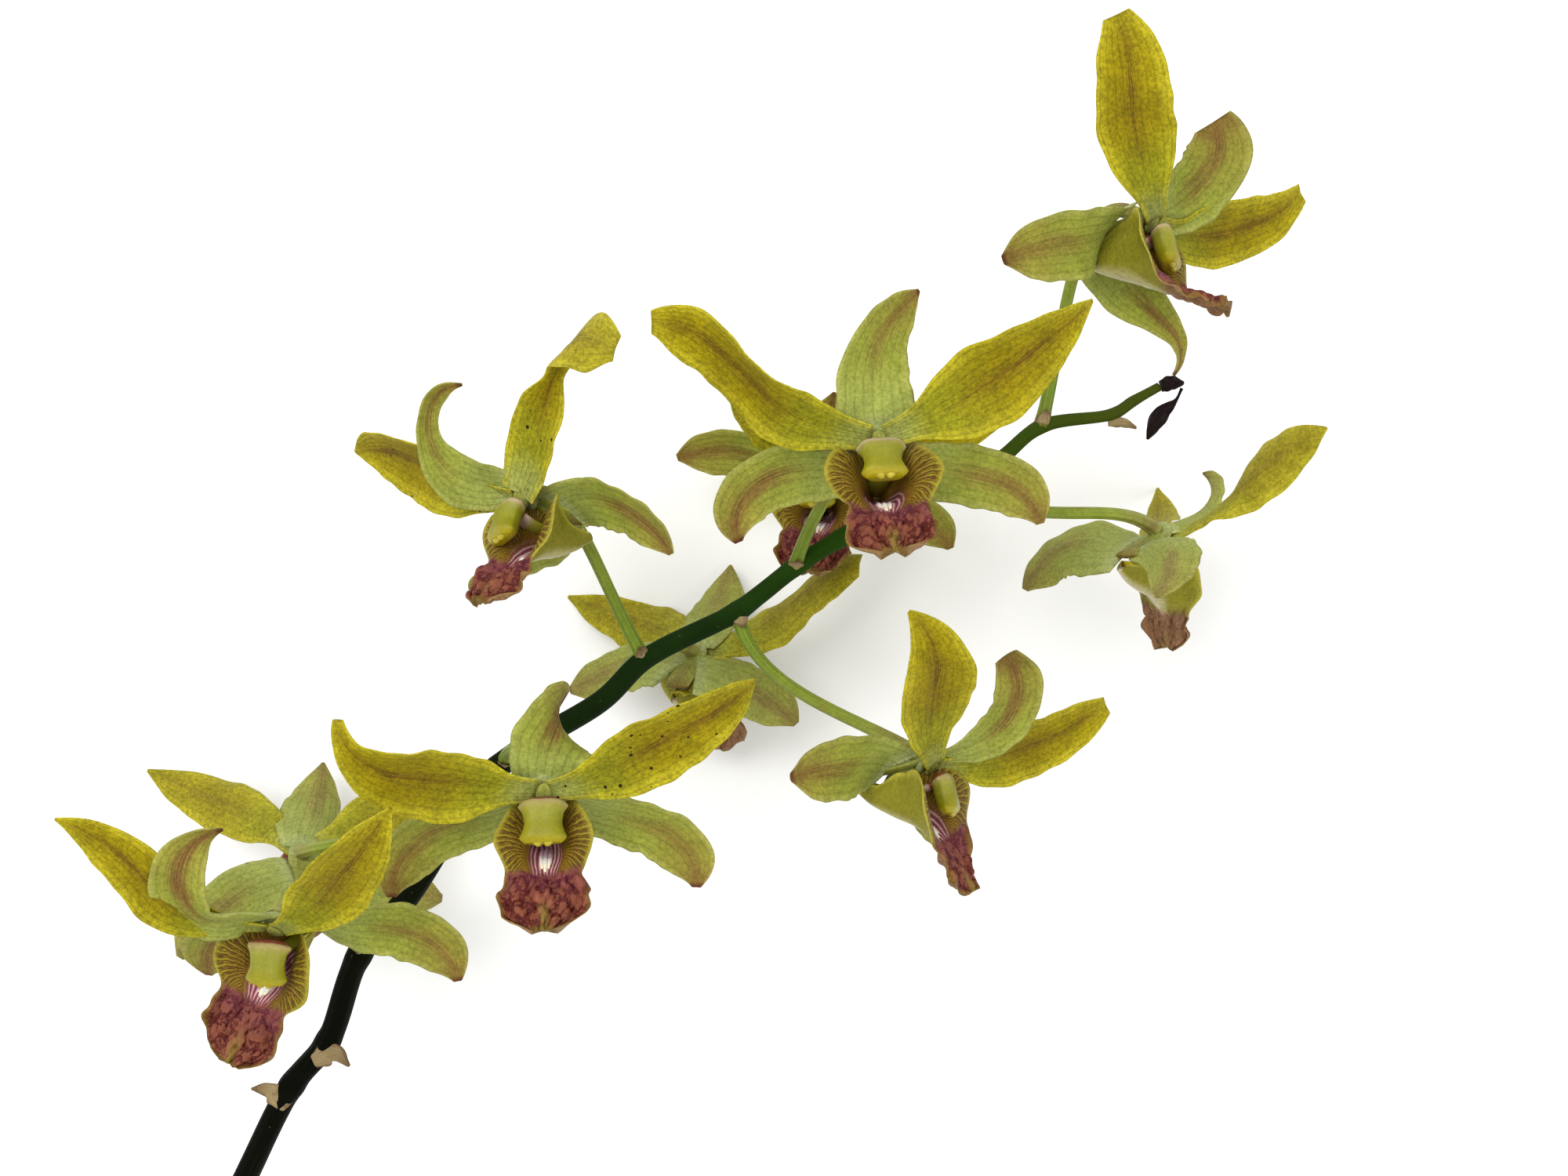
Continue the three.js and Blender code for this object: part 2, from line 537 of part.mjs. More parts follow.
scale("bract_lower_1", COLOURS.bract, [[-90.5, -91, 38.2], [-86.6, -89.3, 38.6], [-83.6, -92, 38]],
  [1.2, 2.1, 1.3, 0.35], [0.4, 0.4, 0.35, 0.3]);
scale("bract_lower_2", COLOURS.bract, [[-96.6, -101, 34.2], [-99.6, -97.6, 35], [-103.4, -97.2, 35]],
  [1.2, 2.1, 1.3, 0.35], [0.4, 0.4, 0.35, 0.3]);
scale("bract_upper", COLOURS.bract, [[61.2, 31.1, 44.6], [63.8, 31.3, 44.6], [66.6, 30.2, 44.2]],
  [0.6, 0.9, 0.7, 0.35], [0.35, 0.35, 0.3, 0.3]);
scale("tip_bud", COLOURS.bud, [[71.4, 38.3, 43.5], [73.4, 38.8, 43.3], [75.8, 38.9, 43]],
  [1.1, 1.3, 1.1, 0.4], [1.0, 1.2, 1.0, 0.4]);
scale("dried_bud", COLOURS.bud, [[75.5, 37.9, 42.9], [74.4, 35.6, 42.5], [71.6, 33, 42], [69.2, 28.3, 41.5]],
  [0.35, 0.35, 1.1, 1.5, 1.1, 0.35], [0.35, 0.35, 1.0, 1.3, 1.0, 0.35]);

export default spray;
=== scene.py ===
"""Looks of a cut dendrobium spray that lies on a pale surface, seen from straight above.

Lengths are in millimetres until a mesh is made. They are counted from the camera's axis, whose
place in the part is CENTRE, and a bloom's own parts from its hub: x to the right of its face, y to
its top and z out of it.
"""

import json

import bmesh
import bpy
import numpy as np
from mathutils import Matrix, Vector

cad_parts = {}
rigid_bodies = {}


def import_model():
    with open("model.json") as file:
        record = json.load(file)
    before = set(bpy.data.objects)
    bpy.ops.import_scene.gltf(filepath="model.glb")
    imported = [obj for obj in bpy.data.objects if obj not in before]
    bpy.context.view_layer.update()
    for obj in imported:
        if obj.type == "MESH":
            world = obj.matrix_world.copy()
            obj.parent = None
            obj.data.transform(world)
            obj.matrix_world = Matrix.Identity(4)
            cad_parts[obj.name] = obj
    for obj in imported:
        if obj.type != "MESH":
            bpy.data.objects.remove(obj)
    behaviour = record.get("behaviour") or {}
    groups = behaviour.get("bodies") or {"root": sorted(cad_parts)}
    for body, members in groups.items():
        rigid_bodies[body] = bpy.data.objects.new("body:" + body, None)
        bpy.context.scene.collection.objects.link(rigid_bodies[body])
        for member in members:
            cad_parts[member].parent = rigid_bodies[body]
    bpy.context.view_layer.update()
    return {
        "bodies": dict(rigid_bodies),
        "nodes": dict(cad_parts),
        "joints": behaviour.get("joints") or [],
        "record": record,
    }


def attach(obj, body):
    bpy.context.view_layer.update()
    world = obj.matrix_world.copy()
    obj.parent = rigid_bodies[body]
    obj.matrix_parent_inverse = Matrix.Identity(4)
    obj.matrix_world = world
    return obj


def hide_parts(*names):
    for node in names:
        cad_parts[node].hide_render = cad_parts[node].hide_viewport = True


CENTRE = np.array([-21.7, -39.1, 0.0])
CAMERA_HEIGHT = 385.0
FLOOR = 0.03  # the lowest that a petal pressed on the surface comes

STEM = [
  [-139.5, -177, 2.2], [-123, -147, 15], [-106.8, -116.7, 27], [-96, -97, 33.5], [-88.2, -87.6, 36.5],
  [-80.6, -69.7, 43], [-71, -58.4, 46], [-54, -34, 48], [-33.8, -20.8, 48], [-26, -13.3, 48],
  [-8.8, -4.4, 48], [-4.5, -1.2, 48], [2.8, 4.5, 48], [11, 9.5, 47.5], [25, 16.8, 47],
  [39.4, 23.4, 46.5], [48.4, 30.4, 45.5], [62.2, 32.9, 44.5], [66, 35.3, 44], [71, 38.1, 43.5],
]
STEM_RADIUS = [2.6, 2.5, 2.4, 2.35, 2.3, 2.25, 2.2, 2.1, 1.9, 1.7, 1.5, 1.3, 0.85]
STEM_NODES = [3, 4, 5, 7, 10, 12, 13, 14, 15, 16, 17, 18]  # the knots where the stem is swollen
PEDICEL_RADIUS = [1.3, 1.1, 1.1, 1.15, 1.5]

# Blades are sepals and petals. "round" is the way a midrib runs in the plane of the face and "open"
# the way it leaves that plane, in degrees at even steps from root to tip. "roll" turns the blade about it.
PETAL_WIDTH = [0.3, 0.46, 0.8, 0.98, 1.0, 0.86, 0.56, 0.05]
DORSAL_WIDTH = [0.62, 0.86, 0.98, 1.0, 0.94, 0.78, 0.5, 0.05]
LATERAL_WIDTH = [0.98, 0.98, 0.97, 0.97, 0.95, 0.86, 0.66, 0.12]
DORSAL = {
  "long": 28, "wide": 12.6, "width": DORSAL_WIDTH, "root": [0, 1.2, -0.2],
  "round": [90, 90, 85], "open": [12, 8, -15], "roll": 0, "cup": 0.25, "wave": 0.3,
}
PETAL = {
  "long": 40, "wide": 13, "width": PETAL_WIDTH, "root": [1.2, 0.8, 1.5],
  "round": [35, 35, 38], "open": [8, 5, -15], "roll": [0, 8, 15], "cup": 0.25, "wave": 0.5,
}
LATERAL = {
  "long": 27, "wide": 11.8, "width": LATERAL_WIDTH, "root": [2.2, -4.8, -4.2],
  "round": [-12, -25, -65], "open": [2, 0, -8], "roll": [35, 12, 0], "cup": 0.22, "wave": 0.3,
}
CHIN = [-12, -7.6]
LIP_AXIS = [CHIN, [-12.2, -3.4], [-11.6, 1], [-10.6, 5.5], [-10.8, 10], [-12.2, 14.3], [-15, 18.6]]
LIP_HALF = [2.0, 4, 7.5, 11.5, 13.5, 12, 7, 7.3, 7.2, 4.5]
LIP_FOLD = [80, 85, 90, 90, 85, 55, 25, 8, -8, -15]
LIP_UPRIGHT = [0.1, 0.4, 0.95, 1, 1, 0.95, 0.8]
LIP_FLARE = [0.1, 0.4, 0.9, 0.95, 0.7, 0.4, 0.2]
LIP_SPREAD = [0, 0, 0, 0.1, 0.6, 1, 1, 1, 1, 1]  # from upright to flared

# Each bloom: its hub, the ways its face looks and its top points, the place on the stem that its
# pedicel starts from, the way it leaves and how straight it arrives, and what its own blades and lip
# do that differs. A left blade is the mirror image of a right one.
BLOOMS = [
  {
    "name": "upper_middle", "hub": [15.6, 24.6, 85], "faces": [0.07, -0.22, 0.97], "top": [-0.05, 0.97, 0.22],
    "node": 11.9, "leaves": [3, 11, 11], "arrives": 12,
    "dorsal": {
      "round": [97, 90, 68, 46, 35], "open": [10, -10, -25, -30], "roll": [0, 5, 15, 20], "long": 27.5,
      "wide": 13.6, "width": [0.85, 1.0, 0.95, 0.86, 0.76, 0.62, 0.42, 0.05],
    },
    "right": {
      "round": [19, 28, 34, 34], "open": [12, 5, -5, -35], "roll": [0, 0, 15, 30], "long": 42,
      "wide": 15, "width": [0.28, 0.42, 0.82, 1.0, 0.95, 0.74, 0.42, 0.05],
    },
    "left": {
      "round": [12, 22, 47, 42, 4], "open": [5, 0, 0, -10], "roll": [0, 20, 50, 40, 10], "long": 42,
      "wide": 13.5, "width": [0.3, 0.5, 0.8, 1.0, 1.0, 0.92, 0.76, 0.3],
    },
    "lowRight": { "round": [-10, -10, -26, -78], "open": [5, 5, 0, -5], "long": 30 },
    "lowLeft": { "round": [-5, -3, -42, -110], "open": [0, -5, -10, -10], "long": 30 },
  },
  {
    "name": "lower_middle", "hub": [-39.9, -33.4, 85], "faces": [0.07, -0.44, 0.9], "top": [0, 0.9, 0.44],
    "node": 7.1, "leaves": [3, 6, 14], "arrives": 12,
    "lipHalf": [2, 4, 7.3, 10.5, 11.5, 10, 6.5, 7.3, 7.2, 4.5], "speckled": "right",
    "dorsal": {
      "round": [86, 70, 30, -20], "open": [8, -24, -80, -100], "long": 16.8, "wide": 14,
      "width": [0.62, 0.82, 0.94, 1.0, 1.0, 1.0, 0.95, 0.5],
    },
    "right": { "round": [17, 30, 26, 15], "open": [20, 0, -10, -60], "long": 41, "wide": 13.8 },
    "left": {
      "round": [18, 19, 28, 92], "open": [20, 15, 8, -10], "long": 38, "wide": 15.5,
      "width": [0.3, 0.46, 0.82, 1.0, 0.98, 0.76, 0.34, 0.12],
    },
    "lowRight": { "round": [-25, -15, -42, -95], "open": [10, 5, 5, 10], "long": 31, "wide": 12.8 },
    "lowLeft": { "round": [-25, -8, -38, -88], "open": [15, 5, 10, 10], "long": 32, "wide": 12.6 },
  },
  {
    "name": "upper_left", "hub": [-45.9, 16, 65], "faces": [-0.63, -0.39, 0.67], "top": [-0.53, 0.85, 0.03],
    "node": 9.0, "leaves": [-7, 12, 6], "arrives": 10, "twist": -18, "speckled": "right left",
    "lip": [CHIN, [-12.2, -3.4], [-11.6, 1], [-10.4, 5.5], [-10.2, 10.2], [-10.8, 15], [-12.2, 19.6]],
    "dorsal": {
      "root": [0, 2.7, 0.1], "round": [150, 118, 81, 39, -40], "open": [46, 32, 3, -20, -36],
      "roll": [0, 10, 50, 66, 20], "long": 33, "wide": 11,
      "width": [0.5, 0.85, 1.0, 0.72, 0.44, 0.36, 0.34, 0.05],
    },
    "right": {
      "round": [38, 34, 14, -58], "open": [-15, -10, -5, 0], "roll": [0, 0, 10, 60, 130, 170],
      "long": 42, "wide": 11, "width": [0.7, 0.95, 1.0, 0.8, 0.36, 0.75, 1.0, 0.45],
    },
    "left": { "round": [36, 48, 42, 15], "open": [17, 8, 0, 0], "wide": 15, "cup": 0.4 },
    "lowRight": { "round": [0, -30, -65, -95], "open": [0, -5, -10, -5] },
    "lowLeft": {
      "round": [-25, -10, 5, -40], "open": [-20, 5, 20, 10], "roll": [35, 60, 60], "long": 30,
    },
  },
  {
    "name": "lower_left", "hub": [-87.1, -57.7, 75], "faces": [-0.2, -0.72, 0.66], "top": [-0.15, 0.68, 0.72],
    "node": 5.1, "leaves": [-3, 5, 8], "arrives": 8, "sway": -14, "twist": -12,
    "lip": [CHIN, [-12.2, -3.4], [-11.6, 1], [-10.6, 5.5], [-10.8, 10], [-12.6, 14.8], [-15.8, 19.8]],
    "dorsal": {
      "round": [100, 150, 105, 60, -20], "open": [35, 30, -15, -40, -30], "long": 34.5, "wide": 11.5,
    },
    "right": { "round": [35, 45, 50, 45], "open": [5, -5, -15, -35] },
    "left": {
      "round": [36, 50, 52, 40, 22], "open": [20, 19, -17, -13, 0], "roll": [0, -20, -45, -45, -30],
      "long": 41, "wide": 9.6,
    },
    "lowRight": {
      "round": [-20, -15, -35, -80], "open": [0, -15, 5, 35], "roll": [30, -15, -40, -30], "long": 31,
    },
    "lowLeft": { "round": [-10, -20, -50, -85], "open": [10, 10, 10, 5] },
  },
  {
    "name": "back_left", "hub": [-94.4, -51.9, 32], "faces": [-0.3, -0.2, -0.93], "top": [-0.08, 0.97, -0.18],
    "node": 6.4, "leaves": [-11, 3, -3], "arrives": 10,
    "dorsal": { "round": [104, 114, 108, 100], "open": [50, 55, 45, 15] },
    "right": { "round": [55, 35, 30, 30], "open": [35, 40, 30, 0], "wide": 11.5 },
    "left": { "round": [15, 25, 25, 20], "open": [20, 20, 10, -10] },
    "lowRight": { "round": [0, -25, -45, -55], "open": [-20, -20, -15, -10] },
    "lowLeft": { "round": [20, -15, -25, -10], "open": [20, 20, 10, -5] },
  },
  {
    "name": "back_middle", "hub": [-17.8, -13.1, 24], "faces": [0.3, -0.3, -0.9], "top": [0.1, 0.95, -0.28],
    "node": 8.3, "leaves": [2, 8, -8], "arrives": 9,
    "dorsal": { "round": [85, 88, 88, 92], "open": [35, 45, 35, 10] },
    "right": { "round": [38, 26, 18, 15], "open": [40, 30, 0, -25], "roll": [0, 20, 25] },
    "left": {
      "round": [20, 34, 42, 10], "open": [20, 8, -8, -10], "roll": [15, 30, 36, 26], "long": 37,
      "wide": 14, "width": [0.3, 0.46, 0.8, 0.98, 1.0, 0.95, 0.82, 0.45],
    },
    "lowRight": { "round": [30, 0, -20, -30], "open": [15, 20, 10, -10] },
    "lowLeft": { "round": [-5, -10, -25, -45], "open": [30, 52, 50, 10], "long": 25 },
  },
  {
    "name": "back_upper", "hub": [7.8, 23.7, 26], "faces": [-0.2, -0.35, 0.91], "top": [-0.05, 0.93, 0.35],
    "node": 13.8, "leaves": [0, 2, -16], "arrives": 12,
    "dorsal": { "round": [75, 70, 70, 75], "open": [45, 50, 45, 15] },
    "right": { "round": [34, 24, 12, 5], "open": [25, 20, 5, -15] },
    "left": { "round": [55, 78, 75, 60], "open": [40, 50, 50, 40] },
    "lowRight": {},
    "lowLeft": { "round": [30, 25, 5, -15], "open": [-5, 5, 10, 10], "long": 30 },
  },
  {
    "name": "top", "hub": [64.9, 65.7, 62], "faces": [0.7, -0.57, 0.43], "top": [0.62, 0.78, 0.02],
    "node": 16.0, "leaves": [4.8, 21, 2], "arrives": 15, "twist": 15,
    "lipHalf": [2, 4, 7.5, 11.5, 14.5, 14.5, 9.5, 7, 6.6, 4],
    "lip": [CHIN, [-12.4, -3.2], [-11.6, 1.5], [-10.2, 6.5], [-8.8, 12], [-7, 17.5], [-5, 22.5]],
    "dorsal": {
      "round": [40, 60, 100, 135], "open": [10, 0, -5, -60], "roll": [0, -40, -55, -50], "long": 26.5,
      "width": [0.5, 0.7, 0.88, 1.0, 1.0, 1.0, 0.95, 0.6],
    },
    "right": {
      "round": [10, 40, 55, 75], "open": [10, 15, 15, -5], "roll": [0, -20, -25],
      "width": [0.3, 0.46, 0.8, 0.98, 1.0, 0.88, 0.66, 0.35],
    },
    "left": {
      "round": [22, 32, 50, 46], "open": [-10, -32, -30, -50], "roll": [10, 35, 40, 50], "long": 37,
      "wide": 14, "width": [0.3, 0.46, 0.8, 0.98, 1.0, 0.92, 0.76, 0.35],
    },
    "lowRight": {
      "root": [2.2, -7, -6], "round": [-35, -11, -10, -80], "open": [35, 55, 55, 0], "long": 31,
      "width": [0.98, 0.98, 0.95, 0.85, 0.6, 0.4, 0.3, 0.1],
    },
    "lowLeft": {
      "round": [-38, -42, -58, -75], "open": [40, -5, -30, -25], "roll": [20, -20, -40], "wide": 13.5,
    },
  },
  {
    "name": "right", "hub": [72.3, 10.2, 38.8], "faces": [0.66, -0.48, -0.58], "top": [0.35, 0.88, -0.3],
    "node": 14.5, "leaves": [15, -11, 1], "arrives": 15, "sway": 9, "twist": 12,
    "lipHalf": [2, 4, 7, 10, 11.5, 10, 6.5, 5, 5, 3],
    "dorsal": {
      "round": [102, 102, 78, 20], "open": [52, 42, 10, 0], "roll": [0, -35, -50], "long": 25,
      "wide": 9,
    },
    "right": { "round": [30, 40, 50, 60], "open": [35, 40, 30, 10], "wide": 9 },
    "left": {
      "round": [25, 31, 22, 8], "open": [10, -15, -22, -20], "roll": [10, 45, -5, -25, -25],
      "wide": 11.5,
    },
    "lowRight": {
      "root": [2.2, -6, -4.6], "round": [-2, 10, -36, -70], "open": [0, 0, 5, 5], "long": 28,
      "wide": 15.5,
    },
    "lowLeft": { "round": [-14, -34, -60, -88], "open": [-20, -25, -25, -25], "wide": 11 },
  },
  {
    "name": "lower_right", "hub": [26.4, -32.3, 52], "faces": [0.75, -0.59, 0.3], "top": [0.62, 0.78, 0],
    "node": 10.0, "leaves": [3, -16, 1], "arrives": 12, "twist": 18,
    "lipHalf": [2, 4, 7.5, 11, 14, 14.5, 9.5, 7, 6.4, 4],
    "lip": [CHIN, [-12.2, -3.4], [-11.2, 1.4], [-9.8, 6.4], [-9.6, 11.4], [-11, 16.4], [-13.2, 21]],
    "dorsal": {
      "round": [80, 90, 115, 165], "open": [45, 22, -15, -55], "roll": [0, -40, -50, -40], "long": 30,
      "wide": 10, "width": [0.5, 0.6, 0.8, 0.96, 1.0, 0.96, 0.85, 0.5],
    },
    "right": {
      "round": [28, 48, 63, 65], "open": [30, 25, 20, 10], "roll": [0, -30, -45],
      "width": [0.3, 0.46, 0.8, 0.98, 1.0, 0.88, 0.66, 0.3],
    },
    "left": {
      "round": [20, 34, 34, 30], "open": [-15, -12, -15, -80], "roll": [10, 30, 40], "wide": 14,
    },
    "lowRight": {
      "round": [-20, -15, -10, -20], "open": [25, 30, 25, 0], "roll": [0, -30, -30], "wide": 10,
    },
    "lowLeft": {
      "round": [-5, -23, -33, -40], "open": [-20, -15, -20, -20], "roll": [20, -20, -40], "wide": 13.5,
    },
  },
]


def rgb(red, green, blue):
    """A colour given as on a screen, from 0 to 255, for a shader"""
    share = np.array([red, green, blue]) / 255
    linear = np.where(share > 0.04045, ((share + 0.055) / 1.055) ** 2.4, share / 12.92)
    return (*linear.tolist(), 1.0)


def along(keys, t):
    """The values at t, from 0 to 1, of a smooth curve through evenly spaced keys"""
    t = np.asarray(t, float)
    keys = np.asarray(keys, float)
    if keys.ndim == 0:
        return np.full(t.shape, float(keys))
    padded = np.concatenate([[2 * keys[0] - keys[1]], keys, [2 * keys[-1] - keys[-2]]])
    last = len(keys) - 1
    at = np.clip((t * last).astype(int), 0, last - 1)
    f = t * last - at
    if keys.ndim == 2:
        f = f[..., None]
    a, b, c, d = (padded[at + k] for k in range(4))
    return b + 0.5 * f * (c - a + f * (2 * a - 5 * b + 4 * c - d + f * (3 * (b - c) + d - a)))


def unit(v):
    """Vectors brought to length one"""
    return v / np.maximum(np.linalg.norm(v, axis=-1, keepdims=True), 1e-9)


def spread(points, count):
    """A line of points set out again at equal distances"""
    steps = np.linalg.norm(np.diff(points, axis=0), axis=1)
    reach = np.concatenate([[0], np.cumsum(steps)])
    wanted = np.linspace(0, reach[-1], count)
    return np.stack([np.interp(wanted, reach, points[:, k]) for k in range(3)], 1)


def waves(seed, count):
    """Phases that one seed always gives alike"""
    return np.random.default_rng(seed).uniform(0, 2 * np.pi, count)


class Piece:
    """One mesh put together from closed grids of points, each with a material of its own"""

    def __init__(self, node, slot):
        self.node, self.slot = node, slot
        self.points, self.faces, self.spans, self.sides, self.kinds = [], [], [], [], []
        self.materials = []
        self.total = 0

    def add(self, points, material, span, side):
        """Rings of points joined one to the next. span and side are what the material reads."""
        rows, ring = points.shape[:2]
        start = self.total
        index = start + np.arange(rows * ring).reshape(rows, ring)
        right = np.roll(index, -1, axis=1)
        faces = np.stack([index[:-1], right[:-1], right[1:], index[1:]], -1).reshape(-1, 4).tolist()
        flat = points.reshape(-1, 3)
        span, side = span.reshape(-1, 2), side.reshape(-1, 2)
        for row, order in ((0, 1), (rows - 1, -1)):
            flat = np.vstack([flat, points[row].mean(0)])
            span = np.vstack([span, span[row * ring:(row + 1) * ring].mean(0)])
            side = np.vstack([side, side[row * ring:(row + 1) * ring].mean(0)])
            middle = start + len(flat) - 1
            faces += [[middle, int(y), int(x)][::order] for x, y in zip(index[row], right[row])]
        if material not in self.materials:
            self.materials.append(material)
        self.points.append(flat)
        self.spans.append(span)
        self.sides.append(side)
        self.kinds += [self.materials.index(material)] * len(faces)
        self.faces += faces
        self.total += len(flat)

    def make(self):
        """The mesh as an object that stands for its node"""
        points = np.vstack(self.points) - CENTRE
        points[:, 2] = np.maximum(points[:, 2], FLOOR)
        mesh = bpy.data.meshes.new(self.node + "_fine")
        mesh.from_pydata((points / 1000).tolist(), [], self.faces)
        for material in self.materials:
            mesh.materials.append(material)
        mesh.polygons.foreach_set("material_index", self.kinds)
        mesh.polygons.foreach_set("use_smooth", [True] * len(self.faces))
        corners = np.zeros(len(mesh.loops), np.int32)
        mesh.loops.foreach_get("vertex_index", corners)
        for name, values in (("span", self.spans), ("side", self.sides)):
            layer = mesh.uv_layers.new(name=name)
            layer.data.foreach_set("uv", np.vstack(values)[corners].astype(np.float32).ravel())
        tidy = bmesh.new()
        tidy.from_mesh(mesh)
        bmesh.ops.recalc_face_normals(tidy, faces=tidy.faces)
        tidy.to_mesh(mesh)
        tidy.free()
        thing = bpy.data.objects.new(self.node + "_fine", mesh)
        bpy.context.scene.collection.objects.link(thing)
        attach(thing, "root")
        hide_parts(self.node)
        return thing


def sheet(piece, middle, half, material, seed):
    """A thin closed sheet round its middle surface, half thick on each side of it. Its first side is
    the one that its rows and columns turn to. It lies on the surface where it would go through it."""
    rows, columns = middle.shape[:2]
    low = FLOOR + half
    middle[..., 2] = low + np.logaddexp(0, (middle[..., 2] - low) / 0.15) * 0.15
    normal = unit(np.cross(np.gradient(middle, axis=0), np.gradient(middle, axis=1)))
    offset = half[..., None] * normal
    ring = np.concatenate([middle + offset, (middle - offset)[:, ::-1]], axis=1)
    t = np.linspace(0, 1, rows)[:, None]
    u = np.linspace(0, 1, columns)
    span = np.stack(np.broadcast_arrays(np.concatenate([u, u[::-1]]), t), -1)
    back = np.repeat([0.0, 1.0], columns)
    side = np.stack(np.broadcast_arrays(back, np.full((rows, 1), seed)), -1)
    piece.add(ring, material, span, side)


def tube(piece, line, across, deep, material, up=(0, 0, 1), sides=28, shape=None, seed=0.0,
         place=lambda points: points):
    """A closed round or oval body along a line. across and deep are its half sizes along it, and
    shape(t, angle) is a factor on both."""
    count = len(line)
    t = np.linspace(0, 1, count)
    forward = unit(np.gradient(line, axis=0))
    ups = []
    last = np.array(up, float)
    for direction in forward:
        last = unit(last - last.dot(direction) * direction)
        ups.append(last)
    ups = np.array(ups)
    side = np.cross(ups, forward)
    angle = np.linspace(0, 2 * np.pi, sides, endpoint=False)
    size = np.ones((count, sides)) if shape is None else shape(t[:, None], angle)
    a = (size * along(across, t)[:, None] * np.cos(angle))[..., None]
    b = (size * along(deep, t)[:, None] * np.sin(angle))[..., None]
    ring = line[:, None] + a * side[:, None] + b * ups[:, None]
    span = np.stack(np.broadcast_arrays(np.abs(angle / np.pi - 1), t[:, None]), -1)
    flags = np.stack(np.broadcast_arrays((np.sin(angle) > 0) * 1.0, np.full((count, 1), seed)), -1)
    piece.add(place(ring), material, span, flags)


def blade_surface(b, seed, rows=52, columns=25):
    """The middle surface of a sepal or petal in its bloom's frame, its tip last"""
    fine = 400
    t = (np.arange(fine) + 0.5) / fine
    turn, open_ = np.radians(along(b["round"], t)), np.radians(along(b["open"], t))
    forward = np.stack([np.cos(open_) * np.cos(turn), np.cos(open_) * np.sin(turn), np.sin(open_)], 1)
    midrib = np.array(b["root"],
                      float) + np.vstack([np.zeros(3), np.cumsum(forward, 0) * b["long"] / fine])
    t = np.linspace(0, 1, rows) ** 0.94
    s = np.linspace(-1, 1, columns)
    line = np.stack([np.interp(t, np.linspace(0, 1, fine + 1), midrib[:, k]) for k in range(3)], 1)
    turn, open_ = np.radians(along(b["round"], t)), np.radians(along(b["open"], t))
    roll = np.radians(along(b["roll"], t))[:, None]
    forward = np.stack([np.cos(open_) * np.cos(turn), np.cos(open_) * np.sin(turn), np.sin(open_)], 1)
    level = np.stack([-np.sin(turn), np.cos(turn), 0 * turn], 1)
    face = np.cross(forward, level)
    across = np.cos(roll) * level + np.sin(roll) * face
    inward = np.cos(roll) * face - np.sin(roll) * level
    phase = waves(int(seed % 1.0 * 1000), 6)
    t, s = t[:, None], s[None, :]
    grows = np.sin(np.pi * np.clip(t, 0, 1)) ** 0.6
    rim = 1 + b.get("scallop", 0.025) * grows * (
        np.sin(21 * t + phase[0] + np.sign(s)) + 0.6 * np.sin(37 * t + phase[1] * np.sign(s + 0.01)))
    half = along(b["width"], t) * b["wide"] / 2
    edge = s * s
    ruffle = b["wave"] * edge * np.sin(2 * np.pi * (1.6 * t + 0.25 * s)) * np.sin(np.pi * t)
    ruffle += 0.3 * b["wave"] * np.abs(s) ** 3 * np.sin(24 * t + 2.2 * s + phase[2]) * grows
    ruffle += b.get("frill", 0.16) * s ** 4 * np.sin(46 * t + phase[3] * np.sign(s + 0.01)) * grows
    groove = -0.22 * np.exp(-(s / 0.1) ** 2) * np.sin(np.pi * np.clip(1.15 * t, 0, 1))
    veins = 0.045 * np.cos(16 * np.pi * s + 2 * np.sin(3 * t + phase[4])) * (1 - edge) * grows
    sideways = s * half * rim * (1 - 0.12 * b["cup"] * edge)
    lift = b["cup"] * half * (edge - 0.35) + ruffle + groove + veins
    return line[:, None] + sideways[..., None] * across[:, None] + lift[..., None] * inward[:, None]


def blade(piece, kind, own, mirror, seed, material, place):
    """Adds one sepal or petal to a piece. A left one is the mirror image of a right one."""
    b = {**kind, **own}
    middle = blade_surface(b, seed)
    rows, columns = middle.shape[:2]
    t, s = np.linspace(0, 1, rows)[:, None], np.linspace(-1, 1, columns)[None, :]
    half = 0.08 + 0.3 * (1 - s ** 4) * (1 - 0.6 * t ** 3)
    mirrored = np.array([mirror, 1, 1])
    sheet(piece, place(middle * mirrored)[:, ::mirror], half, material, seed)


